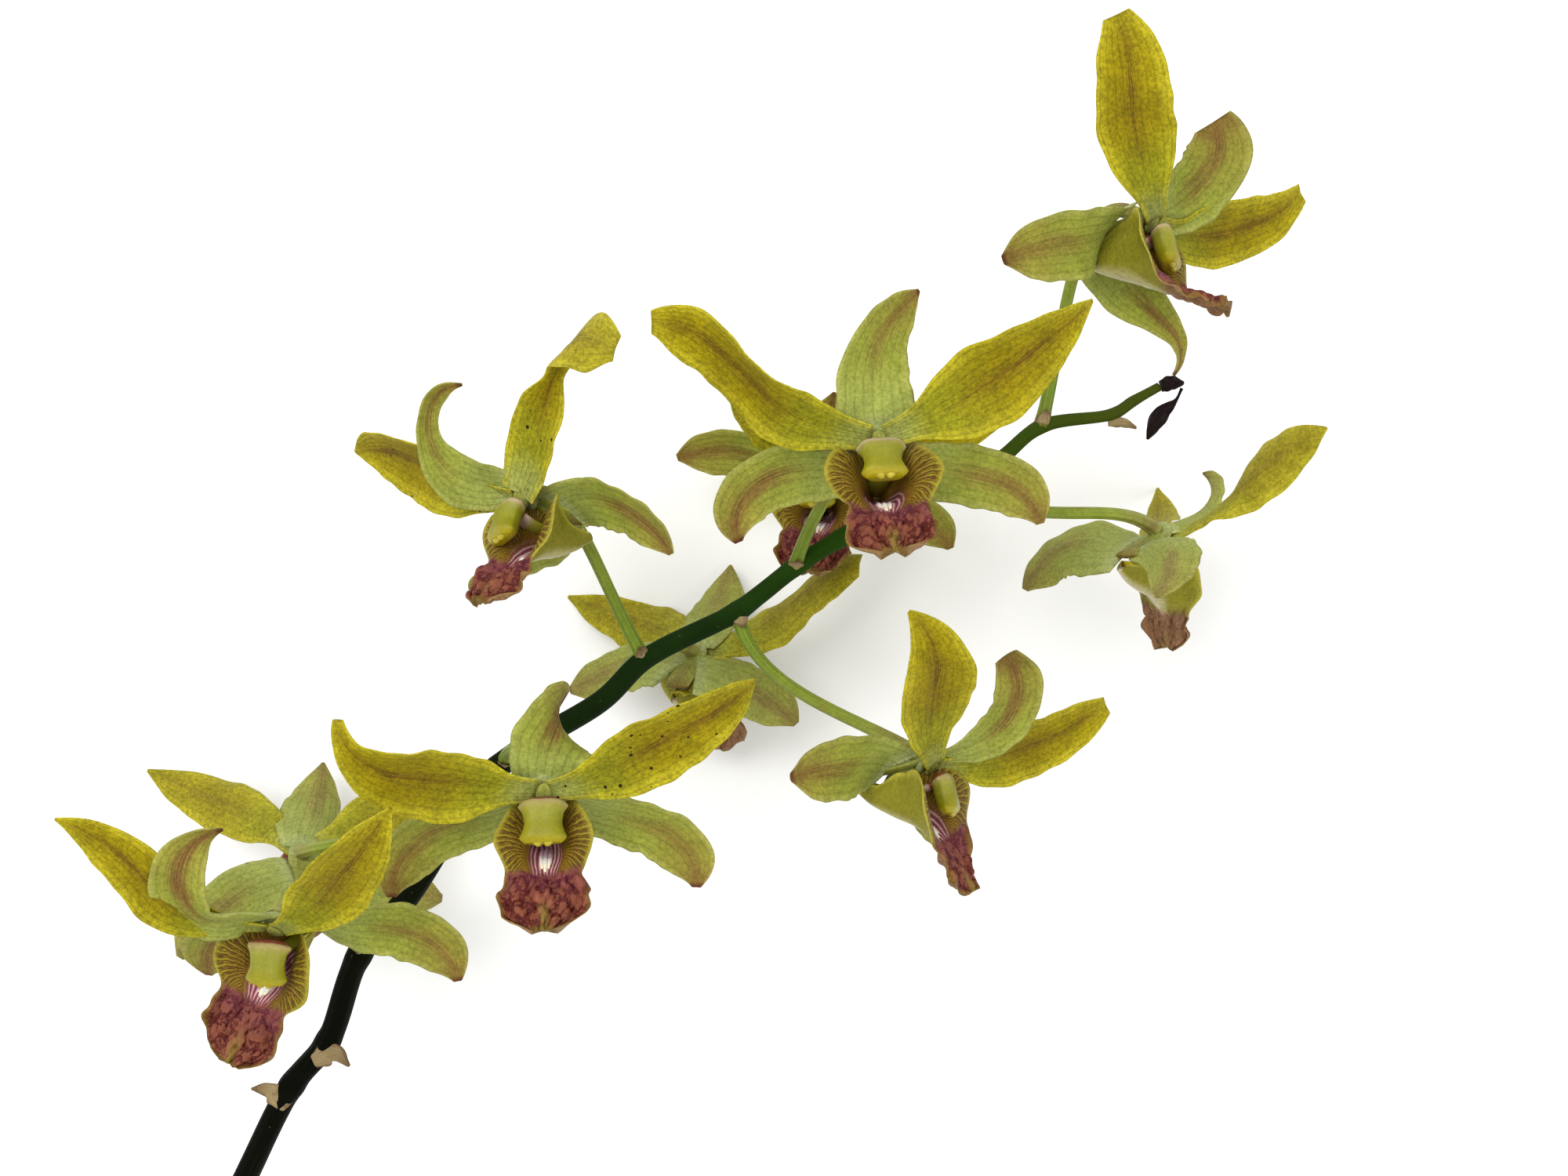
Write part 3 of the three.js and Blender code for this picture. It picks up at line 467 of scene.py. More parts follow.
def lip_surface(bloom, rows=72, columns=61):
    """The middle surface of a lip in its bloom's frame"""
    keys = np.array(bloom.get("lip", LIP_AXIS), float)
    t = np.linspace(0, 1, rows)
    s = np.linspace(-1, 1, columns)
    fine_t = np.linspace(0, 1, 400)
    fine = along(keys, fine_t)
    slope = unit(np.gradient(fine, axis=0))
    at = np.stack([np.interp(t, fine_t, fine[:, k]) for k in (0, 1)], 1)
    forward = unit(np.stack([np.interp(t, fine_t, slope[:, k]) for k in (0, 1)], 1))
    half = along(bloom.get("lipHalf", LIP_HALF), t)[:, None]
    half = half * (1 - 0.45 * np.clip((t[:, None] - 0.9) / 0.1, 0, 1) ** 2)
    fold = np.radians(along(LIP_FOLD, t))[:, None]
    steps = 40
    share = (np.arange(steps) + 0.5) / steps
    far = np.abs(s)
    spread_at = along(LIP_SPREAD, t)[:, None, None]
    across = far[:, None] * share
    upright, flared = along(LIP_UPRIGHT, across), along(LIP_FLARE, across)
    bend = fold[..., None] * ((1 - spread_at) * upright + spread_at * flared)
    out = np.cos(bend).mean(-1) * half * far
    rise = np.sin(bend).mean(-1) * half * far
    t, s = t[:, None], s[None, :]
    phase = waves(int(bloom["seed"] * 977), 8)
    middle_lobe = np.clip((t - 0.62) / 0.12, 0, 1)
    coarse = np.sin(9 * s + 15 * t + phase[0]) * np.sin(26 * t + phase[1])
    coarse = coarse + 0.7 * np.sin(17 * s * (1 - 0.3 * t) + phase[2])
    fine_folds = np.sin(31 * s + 9 * t + phase[3]) * np.sin(47 * t + 7 * s + phase[4])
    edge = far[None, :] ** 2
    rise = rise + middle_lobe * (0.75 * coarse * (0.4 + edge) + 0.4 * fine_folds)
    hand = np.sign(s + 0.01)
    rise = rise + (1 - middle_lobe) * edge ** 3 * 0.35 * np.sin(34 * t + phase[5] * hand)
    out = out * (1 + edge ** 2 * (0.02 + 0.02 * middle_lobe) * np.sin(50 * t + phase[6] * hand))
    x = np.sign(s) * out
    y = at[:, :1] + rise * forward[:, 1:]
    z = at[:, 1:] - rise * forward[:, :1]
    turn, twist = np.radians(bloom.get("sway", 0)), np.radians(bloom.get("twist", 0))
    dy, dz = y - CHIN[0], z - CHIN[1]
    x, y = x * np.cos(twist) - dy * np.sin(twist), CHIN[0] + x * np.sin(twist) + dy * np.cos(twist)
    swayed = x * np.cos(turn) + dz * np.sin(turn)
    z = CHIN[1] + dz * np.cos(turn) - x * np.sin(turn)
    return np.stack([swayed, y, z], -1)


class Look:
    """A material and short ways to add nodes to it"""

    def __init__(self, name, roughness, bump=0.0, **settings):
        self.material = bpy.data.materials.new(name)
        self.material.use_nodes = True
        self.tree = self.material.node_tree
        self.shader = self.tree.nodes["Principled BSDF"]
        self.shader.inputs["Roughness"].default_value = roughness
        for socket, value in settings.items():
            self.shader.inputs[socket.replace("_", " ")].default_value = value
        self.bump_strength = bump
        where = self.node("ShaderNodeTexCoord")
        self.place = where.outputs["Object"]
        self.u, self.v, _ = self.split(self.layer("span"))
        self.s = self.scaled(self.u, 2.0, -1.0)
        self.far = self.size(self.s)
        self.back, self.seed, _ = self.split(self.layer("side"))

    def layer(self, name):
        made = self.node("ShaderNodeUVMap")
        made.uv_map = name
        return made.outputs[0]

    def node(self, kind):
        return self.tree.nodes.new(kind)

    def link(self, value, socket):
        if isinstance(value, bpy.types.NodeSocket):
            self.tree.links.new(value, socket)
        else:
            socket.default_value = value

    def split(self, vector):
        apart = self.node("ShaderNodeSeparateXYZ")
        self.link(vector, apart.inputs[0])
        return tuple(apart.outputs)

    def join(self, x, y, z):
        made = self.node("ShaderNodeCombineXYZ")
        for value, socket in zip((x, y, z), made.inputs):
            self.link(value, socket)
        return made.outputs[0]

    def math(self, operation, *values):
        made = self.node("ShaderNodeMath")
        made.operation = operation
        for value, socket in zip(values, made.inputs):
            self.link(value, socket)
        return made.outputs[0]

    def times(self, a, b):
        return self.math("MULTIPLY", a, b)

    def plus(self, a, b):
        return self.math("ADD", a, b)

    def less(self, a, b):
        return self.math("SUBTRACT", a, b)

    def scaled(self, value, factor, more):
        return self.math("MULTIPLY_ADD", value, factor, more)

    def larger(self, a, b):
        return self.math("MAXIMUM", a, b)

    def size(self, value):
        return self.math("ABSOLUTE", value)

    def sine(self, value):
        return self.math("SINE", value)

    def band(self, value, low, high, to_low=0.0, to_high=1.0):
        """value from low to high brought smoothly to the other range and kept in it"""
        made = self.node("ShaderNodeMapRange")
        made.interpolation_type = "SMOOTHSTEP"
        for given, socket in zip((value, low, high, to_low, to_high), made.inputs):
            self.link(given, socket)
        return made.outputs[0]

    def noise(self, vector, scale, detail=3.0, roughness=0.6):
        made = self.node("ShaderNodeTexNoise")
        self.link(vector, made.inputs["Vector"])
        made.inputs["Scale"].default_value = scale
        made.inputs["Detail"].default_value = detail
        made.inputs["Roughness"].default_value = roughness
        return made.outputs["Fac"]

    def streaks(self, sideways, count, lengthwise, detail, seed=None):
        """Noise drawn out from root to tip, count waves wide and lengthwise waves long"""
        seed = self.seed if seed is None else seed
        drawn = self.join(self.times(sideways, count), self.times(self.v, lengthwise), seed)
        return self.noise(drawn, 1.0, detail)

    def spots(self, vector, scale, size, share):
        """Round specks, at most one a cell, in that share of the cells"""
        made = self.node("ShaderNodeTexVoronoi")
        self.link(vector, made.inputs["Vector"])
        made.inputs["Scale"].default_value = scale
        dot = self.band(made.outputs["Distance"], size, size * 0.6)
        chance = self.math("GREATER_THAN", self.split(made.outputs["Color"])[0], 1 - share)
        return self.math("MULTIPLY", dot, chance)

    def ramp(self, value, *stops):
        made = self.node("ShaderNodeValToRGB")
        self.link(value, made.inputs[0])
        made.color_ramp.interpolation = "EASE"
        elements = made.color_ramp.elements
        while len(elements) < len(stops):
            elements.new(0.5)
        for element, (at, colour) in zip(elements, stops):
            element.position, element.color = at, colour
        return made.outputs[0]

    def mix(self, share, under, over, kind="MIX"):
        made = self.node("ShaderNodeMix")
        made.data_type, made.blend_type, made.clamp_factor = "RGBA", kind, True
        self.link(share, made.inputs["Factor"])
        self.link(under, made.inputs[6])
        self.link(over, made.inputs[7])
        return made.outputs[2]

    def coat(self, under, over, share, strength):
        """over laid on under where share says, as thick as strength"""
        return self.mix(self.times(share, strength), under, over)

    def finish(self, colour, relief=None, glow=0.0):
        """Sets the colour, a bump from relief and how much light comes through a thin blade"""
        self.link(colour, self.shader.inputs["Base Color"])
        if relief is not None:
            bump = self.node("ShaderNodeBump")
            bump.inputs["Strength"].default_value = self.bump_strength
            bump.inputs["Distance"].default_value = 0.0003
            self.link(relief, bump.inputs["Height"])
            self.link(bump.outputs[0], self.shader.inputs["Normal"])
        if glow:
            through = self.node("ShaderNodeBsdfTranslucent")
            self.link(colour, through.inputs["Color"])
            both = self.node("ShaderNodeMixShader")
            both.inputs[0].default_value = glow
            out = self.tree.nodes["Material Output"]
            self.link(self.shader.outputs[0], both.inputs[1])
            self.link(through.outputs[0], both.inputs[2])
            self.link(both.outputs[0], out.inputs["Surface"])
        return self.material


def grain(look, colour, depth=0.26, patchy=0.09):
    """The fine cells of a petal's skin, as lighter and darker grains"""
    cells = look.noise(look.place, 1500, 5, 0.8)
    blots = look.noise(look.place, 210, 3, 0.6)
    shade = look.band(cells, 0.36, 0.64, 1 - depth, 1 + depth)
    tone = look.band(blots, 0.3, 0.7, 1 - patchy, 1 + patchy)
    return look.mix(1.0, colour, look.join(*[look.times(shade, tone)] * 3), "MULTIPLY"), cells


def lengthwise(look, count, bend=2.5, width=0.35):
    """Fine veins that run from root to tip and wander a little"""
    sway = look.noise(look.place, 140, 2)
    angle = look.scaled(look.s, count * np.pi, look.times(sway, bend))
    return look.band(look.sine(angle), 1 - width, 1.0)


def make_petal():
    look = Look("petal_skin", 0.55, bump=0.5, Specular_IOR_Level=0.12)
    wander = look.noise(look.place, 90, 3)
    t = look.scaled(wander, 0.16, look.less(look.v, 0.08))
    colour = look.ramp(t, (0.0, rgb(162, 168, 84)), (0.2, rgb(150, 148, 26)), (0.5, rgb(152, 136, 6)),
                       (0.82, rgb(162, 146, 10)), (1.0, rgb(170, 156, 26)))
    drift = look.size(look.scaled(look.less(wander, 0.5), 0.4, look.s))
    reach = look.times(look.band(look.v, 0.12, 0.5), look.band(look.v, 1.0, 0.84))
    streaks = look.streaks(look.s, 30.0, 3.0, 3)
    haze = look.times(look.times(look.band(drift, 0.5, 0.0), reach),
                      look.band(streaks, 0.3, 0.65, 0.3, 1.0))
    colour = look.coat(colour, rgb(112, 82, 12), haze, 0.55)
    lines = look.band(look.streaks(drift, 46.0, 5.0, 2), 0.42, 0.62)
    thread = look.times(look.times(look.band(drift, 0.2, 0.04), reach), lines)
    colour = look.coat(colour, rgb(92, 50, 22), thread, 0.75)
    # A pale yellow margin along both edges, partly the petal's own colour and partly a painted highlight.
    edge = look.times(look.band(look.far, 0.5, 1.0), look.band(wander, 0.25, 0.6, 0.5, 1.0))
    colour = look.coat(colour, rgb(200, 188, 44), edge, 0.75)
    vein = lengthwise(look, 9)
    colour = look.coat(colour, rgb(110, 102, 14), vein, 0.3)
    specks = look.larger(look.spots(look.place, 400, 0.17, 0.4), look.spots(look.place, 640, 0.18, 0.22))
    speckled = look.larger(look.math("GREATER_THAN", look.seed, 1.0), 0.08)
    colour = look.mix(look.times(specks, speckled), colour, rgb(46, 30, 10))
    behind = look.mix(0.35, colour, rgb(180, 174, 60))
    colour = look.mix(look.back, colour, behind)
    colour, cells = grain(look, colour, 0.3, 0.13)
    relief = look.plus(look.times(cells, 0.6), look.times(vein, 0.5))
    return look.finish(colour, relief, 0.28)


def make_sepal():
    look = Look("sepal_skin", 0.55, bump=0.45, Specular_IOR_Level=0.12)
    wander = look.noise(look.place, 90, 3)
    colour = look.ramp(look.v, (0.0, rgb(182, 190, 126)), (0.12, rgb(164, 172, 84)),
                       (0.45, rgb(154, 160, 62)), (0.8, rgb(156, 150, 60)), (1.0, rgb(138, 112, 52)))
    drift = look.scaled(look.less(wander, 0.5), 0.7, look.s)
    middle = look.band(look.size(drift), 0.5, 0.05)
    reach = look.times(look.band(look.v, 0.2, 0.55), look.band(look.v, 1.02, 0.9))
    streaks = look.band(look.streaks(look.s, 34.0, 3.5, 3), 0.25, 0.6)
    stripe = look.times(look.times(middle, reach), streaks)
    colour = look.mix(look.times(stripe, look.scaled(look.seed, 0.5, 0.6)), colour, rgb(126, 82, 48))
    edge = look.band(look.far, 0.72, 1.0)
    colour = look.coat(colour, rgb(188, 186, 102), edge, 0.45)
    vein = lengthwise(look, 8, 2.2, 0.45)
    colour = look.coat(colour, rgb(104, 114, 34), vein, 0.24)
    tip = look.band(look.scaled(wander, 0.05, look.v), 0.98, 1.02)
    some = look.band(look.sine(look.scaled(look.seed, 27.0, 5.2)), -0.2, 0.5)
    colour = look.mix(look.times(look.times(tip, some), 0.85), colour, rgb(96, 44, 28))
    specks = look.spots(look.place, 210, 0.08, 0.06)
    colour = look.coat(colour, rgb(62, 44, 22), specks, 0.7)
    colour = look.coat(colour, rgb(170, 176, 100), look.back, 0.3)
    colour, cells = grain(look, colour, 0.22)
    relief = look.plus(look.times(cells, 0.6), look.times(vein, 0.5))
    return look.finish(colour, relief, 0.26)


def make_lip():
    look = Look("lip_skin", 0.5, bump=0.6, Specular_IOR_Level=0.15)
    wander = look.noise(look.place, 160, 3)
    # Veins that fan out from the throat over both side lobes
    rise = look.less(look.v, 0.47)
    fan = look.math("ARCTAN2", rise, look.plus(look.far, 0.12))
    twist = look.times(look.noise(look.place, 620, 3), 11.0)
    lines = look.sine(look.plus(look.times(fan, 300.0), twist))
    close = look.sine(look.plus(look.times(fan, 600.0), twist))
    outer = look.band(look.far, 0.45, 0.7)
    veins = look.larger(look.band(lines, 0.3, 0.95), look.times(look.band(close, 0.3, 0.95), outer))
    ends = look.times(look.band(look.far, 0.16, 0.3), look.band(look.far, 1.0, 0.88))
    veins = look.times(veins, ends)
    lobes = look.ramp(look.far, (0.0, rgb(148, 96, 92)), (0.3, rgb(138, 98, 36)),
                      (0.6, rgb(144, 118, 30)), (0.9, rgb(144, 128, 30)), (1.0, rgb(164, 152, 50)))
    lobes = look.coat(lobes, rgb(80, 42, 18), veins, 0.85)
    throat = look.mix(look.band(look.sine(look.scaled(look.s, 74.0, look.times(wander, 7.0))), 0.0, 0.8),
                      rgb(136, 66, 78), rgb(212, 176, 172))
    inside = look.mix(look.band(look.far, 0.4, 0.24), lobes, throat)
    # The middle lobe's mottle: thin dark lines along the fold noise are painted crease shade, dark where the
    # bump from the same pattern dips. The pits and the rest are uneven colour of its own.
    folds = look.size(look.less(look.noise(look.place, 330, 3, 0.6), 0.5))
    pits = look.times(look.noise(look.place, 900, 3, 0.7), 0.3)
    mottle_and_crease_shade = look.plus(look.band(folds, 0.0, 0.075, 0.12, 0.6), pits)
    front = look.ramp(mottle_and_crease_shade, (0.2, rgb(76, 26, 24)), (0.5, rgb(112, 50, 40)), (0.85, rgb(144, 84, 62)))
    purple = look.times(look.band(look.v, 0.86, 0.68), look.band(wander, 0.3, 0.6, 0.5, 1.0))
    front = look.coat(front, rgb(124, 60, 84), purple, 0.4)
    rim = look.larger(look.band(look.far, 0.88, 1.0), look.band(look.v, 0.965, 1.0))
    front = look.coat(front, rgb(132, 112, 34), rim, 0.6)
    keel = look.times(look.band(look.far, 0.2, 0.03), look.band(look.v, 0.8, 0.96))
    front = look.coat(front, rgb(136, 126, 44), keel, 0.6)
    inside = look.mix(look.band(look.scaled(wander, 0.06, look.v), 0.66, 0.71), inside, front)
    # Its outside is olive with a pale keel, and shows the middle lobe's colour faintly
    outside = look.ramp(look.far, (0.0, rgb(206, 196, 168)), (0.14, rgb(178, 170, 112)),
                        (0.3, rgb(140, 134, 36)), (0.8, rgb(150, 144, 40)), (1.0, rgb(184, 176, 66)))
    under = look.mix(0.45, front, rgb(170, 140, 96))
    outside = look.mix(look.band(look.v, 0.62, 0.74), outside, under)
    colour = look.mix(look.back, inside, outside)
    colour, _ = grain(look, colour, 0.14)
    relief = look.plus(look.times(mottle_and_crease_shade, 1.2), look.times(veins, 0.6))
    return look.finish(colour, relief, 0.15)


def make_ridge():
    look = Look("callus_skin", 0.4, bump=0.3, Specular_IOR_Level=0.4, Subsurface_Weight=0.15,
                Subsurface_Scale=0.001)
    tone = look.noise(look.place, 700, 3)
    colour = look.ramp(look.v, (0.0, rgb(150, 92, 116)), (0.5, rgb(196, 160, 176)),
                       (0.8, rgb(238, 230, 224)), (1.0, rgb(240, 228, 196)))
    colour = look.mix(look.band(tone, 0.5, 0.75), colour, rgb(150, 90, 116))
    return look.finish(colour, tone)


def make_column():
    look = Look("column_skin", 0.4, bump=0.3, Specular_IOR_Level=0.3, Subsurface_Weight=0.12,
                Subsurface_Scale=0.001)
    wander = look.noise(look.place, 260, 3)
    t = look.scaled(wander, 0.1, look.less(look.v, 0.05))
    colour = look.ramp(t, (0.0, rgb(110, 46, 40)), (0.1, rgb(122, 62, 46)), (0.16, rgb(150, 136, 70)),
                       (0.36, rgb(132, 132, 30)), (0.72, rgb(132, 128, 8)), (1.0, rgb(158, 144, 10)))
    # A pinkish-white band near the column's top, its own colour. It fades with the seed on some blooms, and
    # there the darker top is painted shade.
    pale = look.times(look.band(t, 0.1, 0.14), look.band(t, 0.27, 0.16))
    pale = look.times(pale, look.band(look.seed, 0.1, 0.8, 0.75, 0.15))
    colour = look.mix(pale, colour, rgb(190, 166, 152))
    colour, cells = grain(look, colour, 0.08)
    return look.finish(colour, cells)


def make_anther():
    look = Look("anther_skin", 0.35, bump=0.3, Specular_IOR_Level=0.5)
    tone = look.noise(look.place, 900, 3)
    colour = look.ramp(tone, (0.3, rgb(160, 146, 12)), (0.7, rgb(184, 168, 40)))
    return look.finish(colour, tone)


def make_stem():
    look = Look("stem_skin", 0.55, bump=0.5, Specular_IOR_Level=0.02)
    blots = look.noise(look.place, 120, 4)
    streaks = look.streaks(look.u, 40.0, 26.0, 4, seed=0.0)
    t = look.scaled(blots, 0.14, look.less(look.v, 0.07))
    colour = look.ramp(t, (0.0, rgb(6, 5, 4)), (0.3, rgb(8, 8, 4)), (0.5, rgb(12, 17, 5)),
                       (0.66, rgb(18, 36, 8)), (0.82, rgb(38, 70, 12)), (1.0, rgb(62, 72, 18)))
    colour = look.mix(look.band(streaks, 0.5, 0.75, 0.0, 0.3), colour, rgb(34, 36, 10))
    specks = look.spots(look.place, 420, 0.12, 0.25)
    colour = look.coat(colour, rgb(96, 96, 50), specks, 0.2)
    relief = look.plus(streaks, look.times(specks, 0.4))
    return look.finish(colour, relief)


def make_pedicel():
    look = Look("pedicel_skin", 0.5, bump=0.4, Specular_IOR_Level=0.15)
    blots = look.noise(look.place, 160, 3)
    ribs = look.sine(look.scaled(look.u, 22.0, look.times(blots, 2.0)))
    colour = look.ramp(look.v, (0.0, rgb(104, 100, 38)), (0.08, rgb(100, 120, 30)),
                       (0.6, rgb(130, 142, 48)), (1.0, rgb(160, 162, 82)))
    colour = look.mix(look.band(ribs, 0.2, 1.0, 0.0, 0.3), colour, rgb(142, 152, 60))
    blush = look.times(look.band(look.v, 0.72, 0.9), look.band(look.v, 1.0, 0.95))
    colour = look.mix(look.times(blush, look.band(blots, 0.35, 0.6, 0.2, 0.7)), colour, rgb(112, 84, 50))
    colour = look.mix(look.band(blots, 0.55, 0.75, 0.0, 0.35), colour, rgb(120, 92, 48))
    colour, cells = grain(look, colour, 0.12)
    return look.finish(colour, look.plus(ribs, cells))


def make_bract():
    look = Look("bract_skin", 0.75, bump=0.8, Specular_IOR_Level=0.2)
    fibres = look.streaks(look.s, 26.0, 3.0, 4)
    blots = look.noise(look.place, 420, 3)
    colour = look.ramp(fibres, (0.25, rgb(104, 82, 50)), (0.5, rgb(160, 138, 96)),
                       (0.75, rgb(196, 178, 134)))
    colour = look.mix(look.band(look.far, 0.6, 1.0, 0.0, 0.6), colour, rgb(96, 66, 38))
    colour = look.mix(look.band(look.v, 0.5, 1.0, 0.0, 0.6), colour, rgb(104, 74, 50))
    colour = look.mix(look.band(blots, 0.55, 0.7, 0.0, 0.6), colour, rgb(74, 48, 30))
    return look.finish(colour, fibres, 0.12)


def make_withered():
    look = Look("withered_skin", 0.6, bump=0.9, Specular_IOR_Level=0.08)
    folds = look.streaks(look.u, 14.0, 6.0, 4)
    colour = look.ramp(folds, (0.3, rgb(10, 6, 8)), (0.6, rgb(30, 17, 16)), (0.85, rgb(84, 54, 36)))
    return look.finish(colour, folds)


def make_cut():
    look = Look("cut_end", 0.7, bump=0.6, Specular_IOR_Level=0.2)
    fibres = look.noise(look.place, 1500, 4)
    colour = look.ramp(fibres, (0.3, rgb(92, 96, 52)), (0.7, rgb(158, 156, 104)))
    return look.finish(colour, fibres)


def make_floor():
    look = Look("studio_floor", 0.85, bump=0.05, Specular_IOR_Level=0.1)
    tone = look.noise(look.place, 6, 3)
    return look.finish(look.ramp(tone, (0.3, rgb(246, 246, 245)), (0.7, rgb(250, 250, 249))), tone)


def curve(keys, count):
    """A centripetal smooth curve through knots, the same number of points between each two"""
    p = np.asarray(keys, float)
    p = np.vstack([2 * p[0] - p[1], p, 2 * p[-1] - p[-2]])
    gap = np.maximum(np.linalg.norm(np.diff(p, axis=0), axis=1) ** 0.5, 1e-4)
    t = np.linspace(0, len(keys) - 1, count)
    k = np.minimum(t.astype(int), len(keys) - 2)
    f = (t - k)[:, None]
    g0, g1, g2 = (gap[k + j][:, None] for j in range(3))
    a, b, c, d = (p[k + j] for j in range(4))
    m1 = ((b - a) / g0 - (c - a) / (g0 + g1) + (c - b) / g1) * g1
    m2 = ((c - b) / g1 - (d - b) / (g1 + g2) + (d - c) / g2) * g1
    return b + f * m1 + f * f * (3 * (c - b) - 2 * m1 - m2) + f ** 3 * (2 * (b - c) + m1 + m2)


def bezier(a, b, c, d, count):
    t = np.linspace(0, 1, count)[:, None]
    return (1 - t) ** 3 * a + 3 * (1 - t) ** 2 * t * b + 3 * (1 - t) * t * t * c + t ** 3 * d


def ribs(t, angle):
    """A pedicel's low ribs and its swollen foot"""
    return 1 + 0.05 * np.cos(6 * angle) * np.sin(np.pi * t) + 0.18 * np.exp(-(t / 0.04) ** 2)


def wings(t, angle):
    """A column's flat face and the wavy wings at its sides"""
    flat = 1 - 0.16 * np.cos(2 * angle) ** 2 * np.abs(np.sin(angle))
    return flat + 0.05 * np.sin(8 * t + 1) * np.abs(np.cos(angle)) ** 3


def make_blooms():
    """All blooms, five pieces each"""
    steps = 400  # along each stretch of the stem
    whole = curve(STEM, steps * (len(STEM) - 1) + 1)
    for number, b in enumerate(BLOOMS):
        b["seed"] = (0.137 + 0.618 * number) % 1.0
        hub = np.array(b["hub"], float)
        facing = unit(np.array(b["faces"], float))
        right = unit(np.cross(np.array(b["top"], float), facing))
        top = np.cross(facing, right)
        frame = np.stack([right, top, facing])
        place = lambda ring, frame=frame, hub=hub: ring @ frame + hub
        name = b["name"]

        sepals = Piece("sepals_" + name, "sepal")
        parts = (("dorsal", DORSAL, 1), ("lowRight", LATERAL, 1), ("lowLeft", LATERAL, -1))
        for key, kind, mirror in parts:
            seed = (b["seed"] + 0.31 * len(sepals.points)) % 1.0
            blade(sepals, kind, b[key], mirror, seed, SEPAL, place)
        line = curve([[0, 0.2, -0.5], [0, -4.4, -3.8], [0, -8.6, -7.4]], 16)
        tube(sepals, line, [2.6, 2.8, 2.4], 0.7, SEPAL, up=(0, 1, 0), place=place)
        seat(sepals, -1.2, 0.4, 2.6, SEPAL, place)
        sepals.make()

        petals = Piece("petals_" + name, "petal")
        for key, mirror, more in (("right", 1, 0.47), ("left", -1, 0.83)):
            seed = (b["seed"] + more) % 1.0 + (key in b.get("speckled", ""))
            blade(petals, PETAL, b[key], mirror, seed, PETAL_SKIN, place)
        seat(petals, 0.7, 1.7, 1.8, PETAL_SKIN, place)
        petals.make()

        lip = Piece("lip_" + name, "lip")
        middle = lip_surface(b)
        rows, columns = middle.shape[:2]
        s = np.linspace(-1, 1, columns)[None]
        half = 0.1 + 0.22 * (1 - s ** 4) * np.ones((rows, 1))
        sheet(lip, place(middle), half, LIP_SKIN, b["seed"])
        add_callus(lip, middle, place)
        lip.make()

        column = Piece("column_" + name, "column")
        add_column(column, place, b["seed"])
        column.make()

        pedicel = Piece("pedicel_" + name, "pedicel")
        start = whole[int(round(b["node"] * steps))]
        end = hub - 1.6 * facing
        line = bezier(start, start + b["leaves"], end - b["arrives"] * facing, end, 60)
        tube(pedicel, line, PEDICEL_RADIUS, PEDICEL_RADIUS, PEDICEL, shape=ribs, sides=36)
        add_axil(pedicel, start, unit(line[6] - line[0]), b["seed"])
        pedicel.make()


def seat(piece, low, high, radius, material, place):
    """The round seat between ovary and blades"""
    line = np.stack([np.zeros(9), np.zeros(9), np.linspace(low, high, 9)], 1)
    sizes = [radius * share for share in (0.6, 0.97, 1, 0.97, 0.6)]
    tube(piece, line, sizes, sizes, material, up=(0, 1, 0), place=place)
    piece.spans[-1][:] = (0.75, 0.0)


def add_callus(lip, middle, place):
    """Three ridges along the throat, the middle one ending in a tooth"""
    rows, columns = middle.shape[:2]
    centre = columns // 2
    for shift, first, last, size in ((0, 0.3, 0.65, 0.55), (-2, 0.34, 0.62, 0.42), (2, 0.34, 0.62, 0.42)):
        path = middle[int(first * rows):int(last * rows), centre + shift]
        lifted = path + np.array([0, 0.42, 0.1])
        tube(lip, spread(lifted, 24), [0.15, size * 0.8, size, size, size * 0.9, 0.2],
             [0.15, size * 0.8, size, size * 1.2, size * 1.3, 0.2], RIDGE, place=place, sides=16)


def add_column(column, place, seed):
    """The column with its wings and hood, the anther cap at its end and the foot behind it"""
    line = curve([[0, -0.4, 3.2], [0, -1.0, 4.6], [0, -2.6, 6.6], [0, -3.8, 8.2], [0, -4.7, 9.1]], 36)
    wide, deep = [2.6, 4.0, 3.5, 3.3, 3.5, 3.7, 3.0], [1.5, 2.3, 2.3, 2.3, 2.3, 2.1, 1.4]
    tube(column, line, wide, deep, COLUMN, up=(0, 1, 0), shape=wings, sides=40, seed=seed, place=place)
    for x in (-0.85, 0.85):
        line = curve([[x, -3.5, 8.0], [x * 0.95, -4.1, 9.1], [x * 0.8, -4.8, 9.8]], 14)
        wide, deep = [0.6, 0.95, 0.9, 0.3], [0.6, 0.8, 0.75, 0.25]
        tube(column, line, wide, deep, ANTHER, up=(0, 1, 0), place=place, sides=20)
    line = curve([[0, -1.6, 4], [0, -5.4, 1.6], [0, -8.4, -2.6], [0, -10.2, -6.6]], 24)
    tube(column, line, [2.2, 1.9, 1.7, 1.4], 0.7, COLUMN, up=(0, 1, 0), place=place)


def add_axil(piece, start, forward, seed):
    """A small papery scale that clasps the foot of a pedicel"""
    phase = waves(int(seed * 500) + 3, 2)
    side = unit(np.cross(forward, [0.2, 0.1, 1.0]))
    lift = np.cross(side, forward)
    t = np.linspace(0, 1, 14)[:, None]
    angle = (np.linspace(-1, 1, 13) * 1.5)[None]
    narrow = (1 - t ** 1.4) * 0.95 + 0.05
    radius = 1.45 + 0.2 * t + 0.08 * np.sin(5 * angle + phase[0])
    sideways = (radius * np.sin(angle * narrow))[..., None] * side
    upward = (radius * np.cos(angle * narrow))[..., None] * lift
    middle = start + (0.6 + 2.6 * t)[..., None] * forward + sideways + upward
    sheet(piece, middle, np.full((14, 13), 0.09), BRACT, seed)


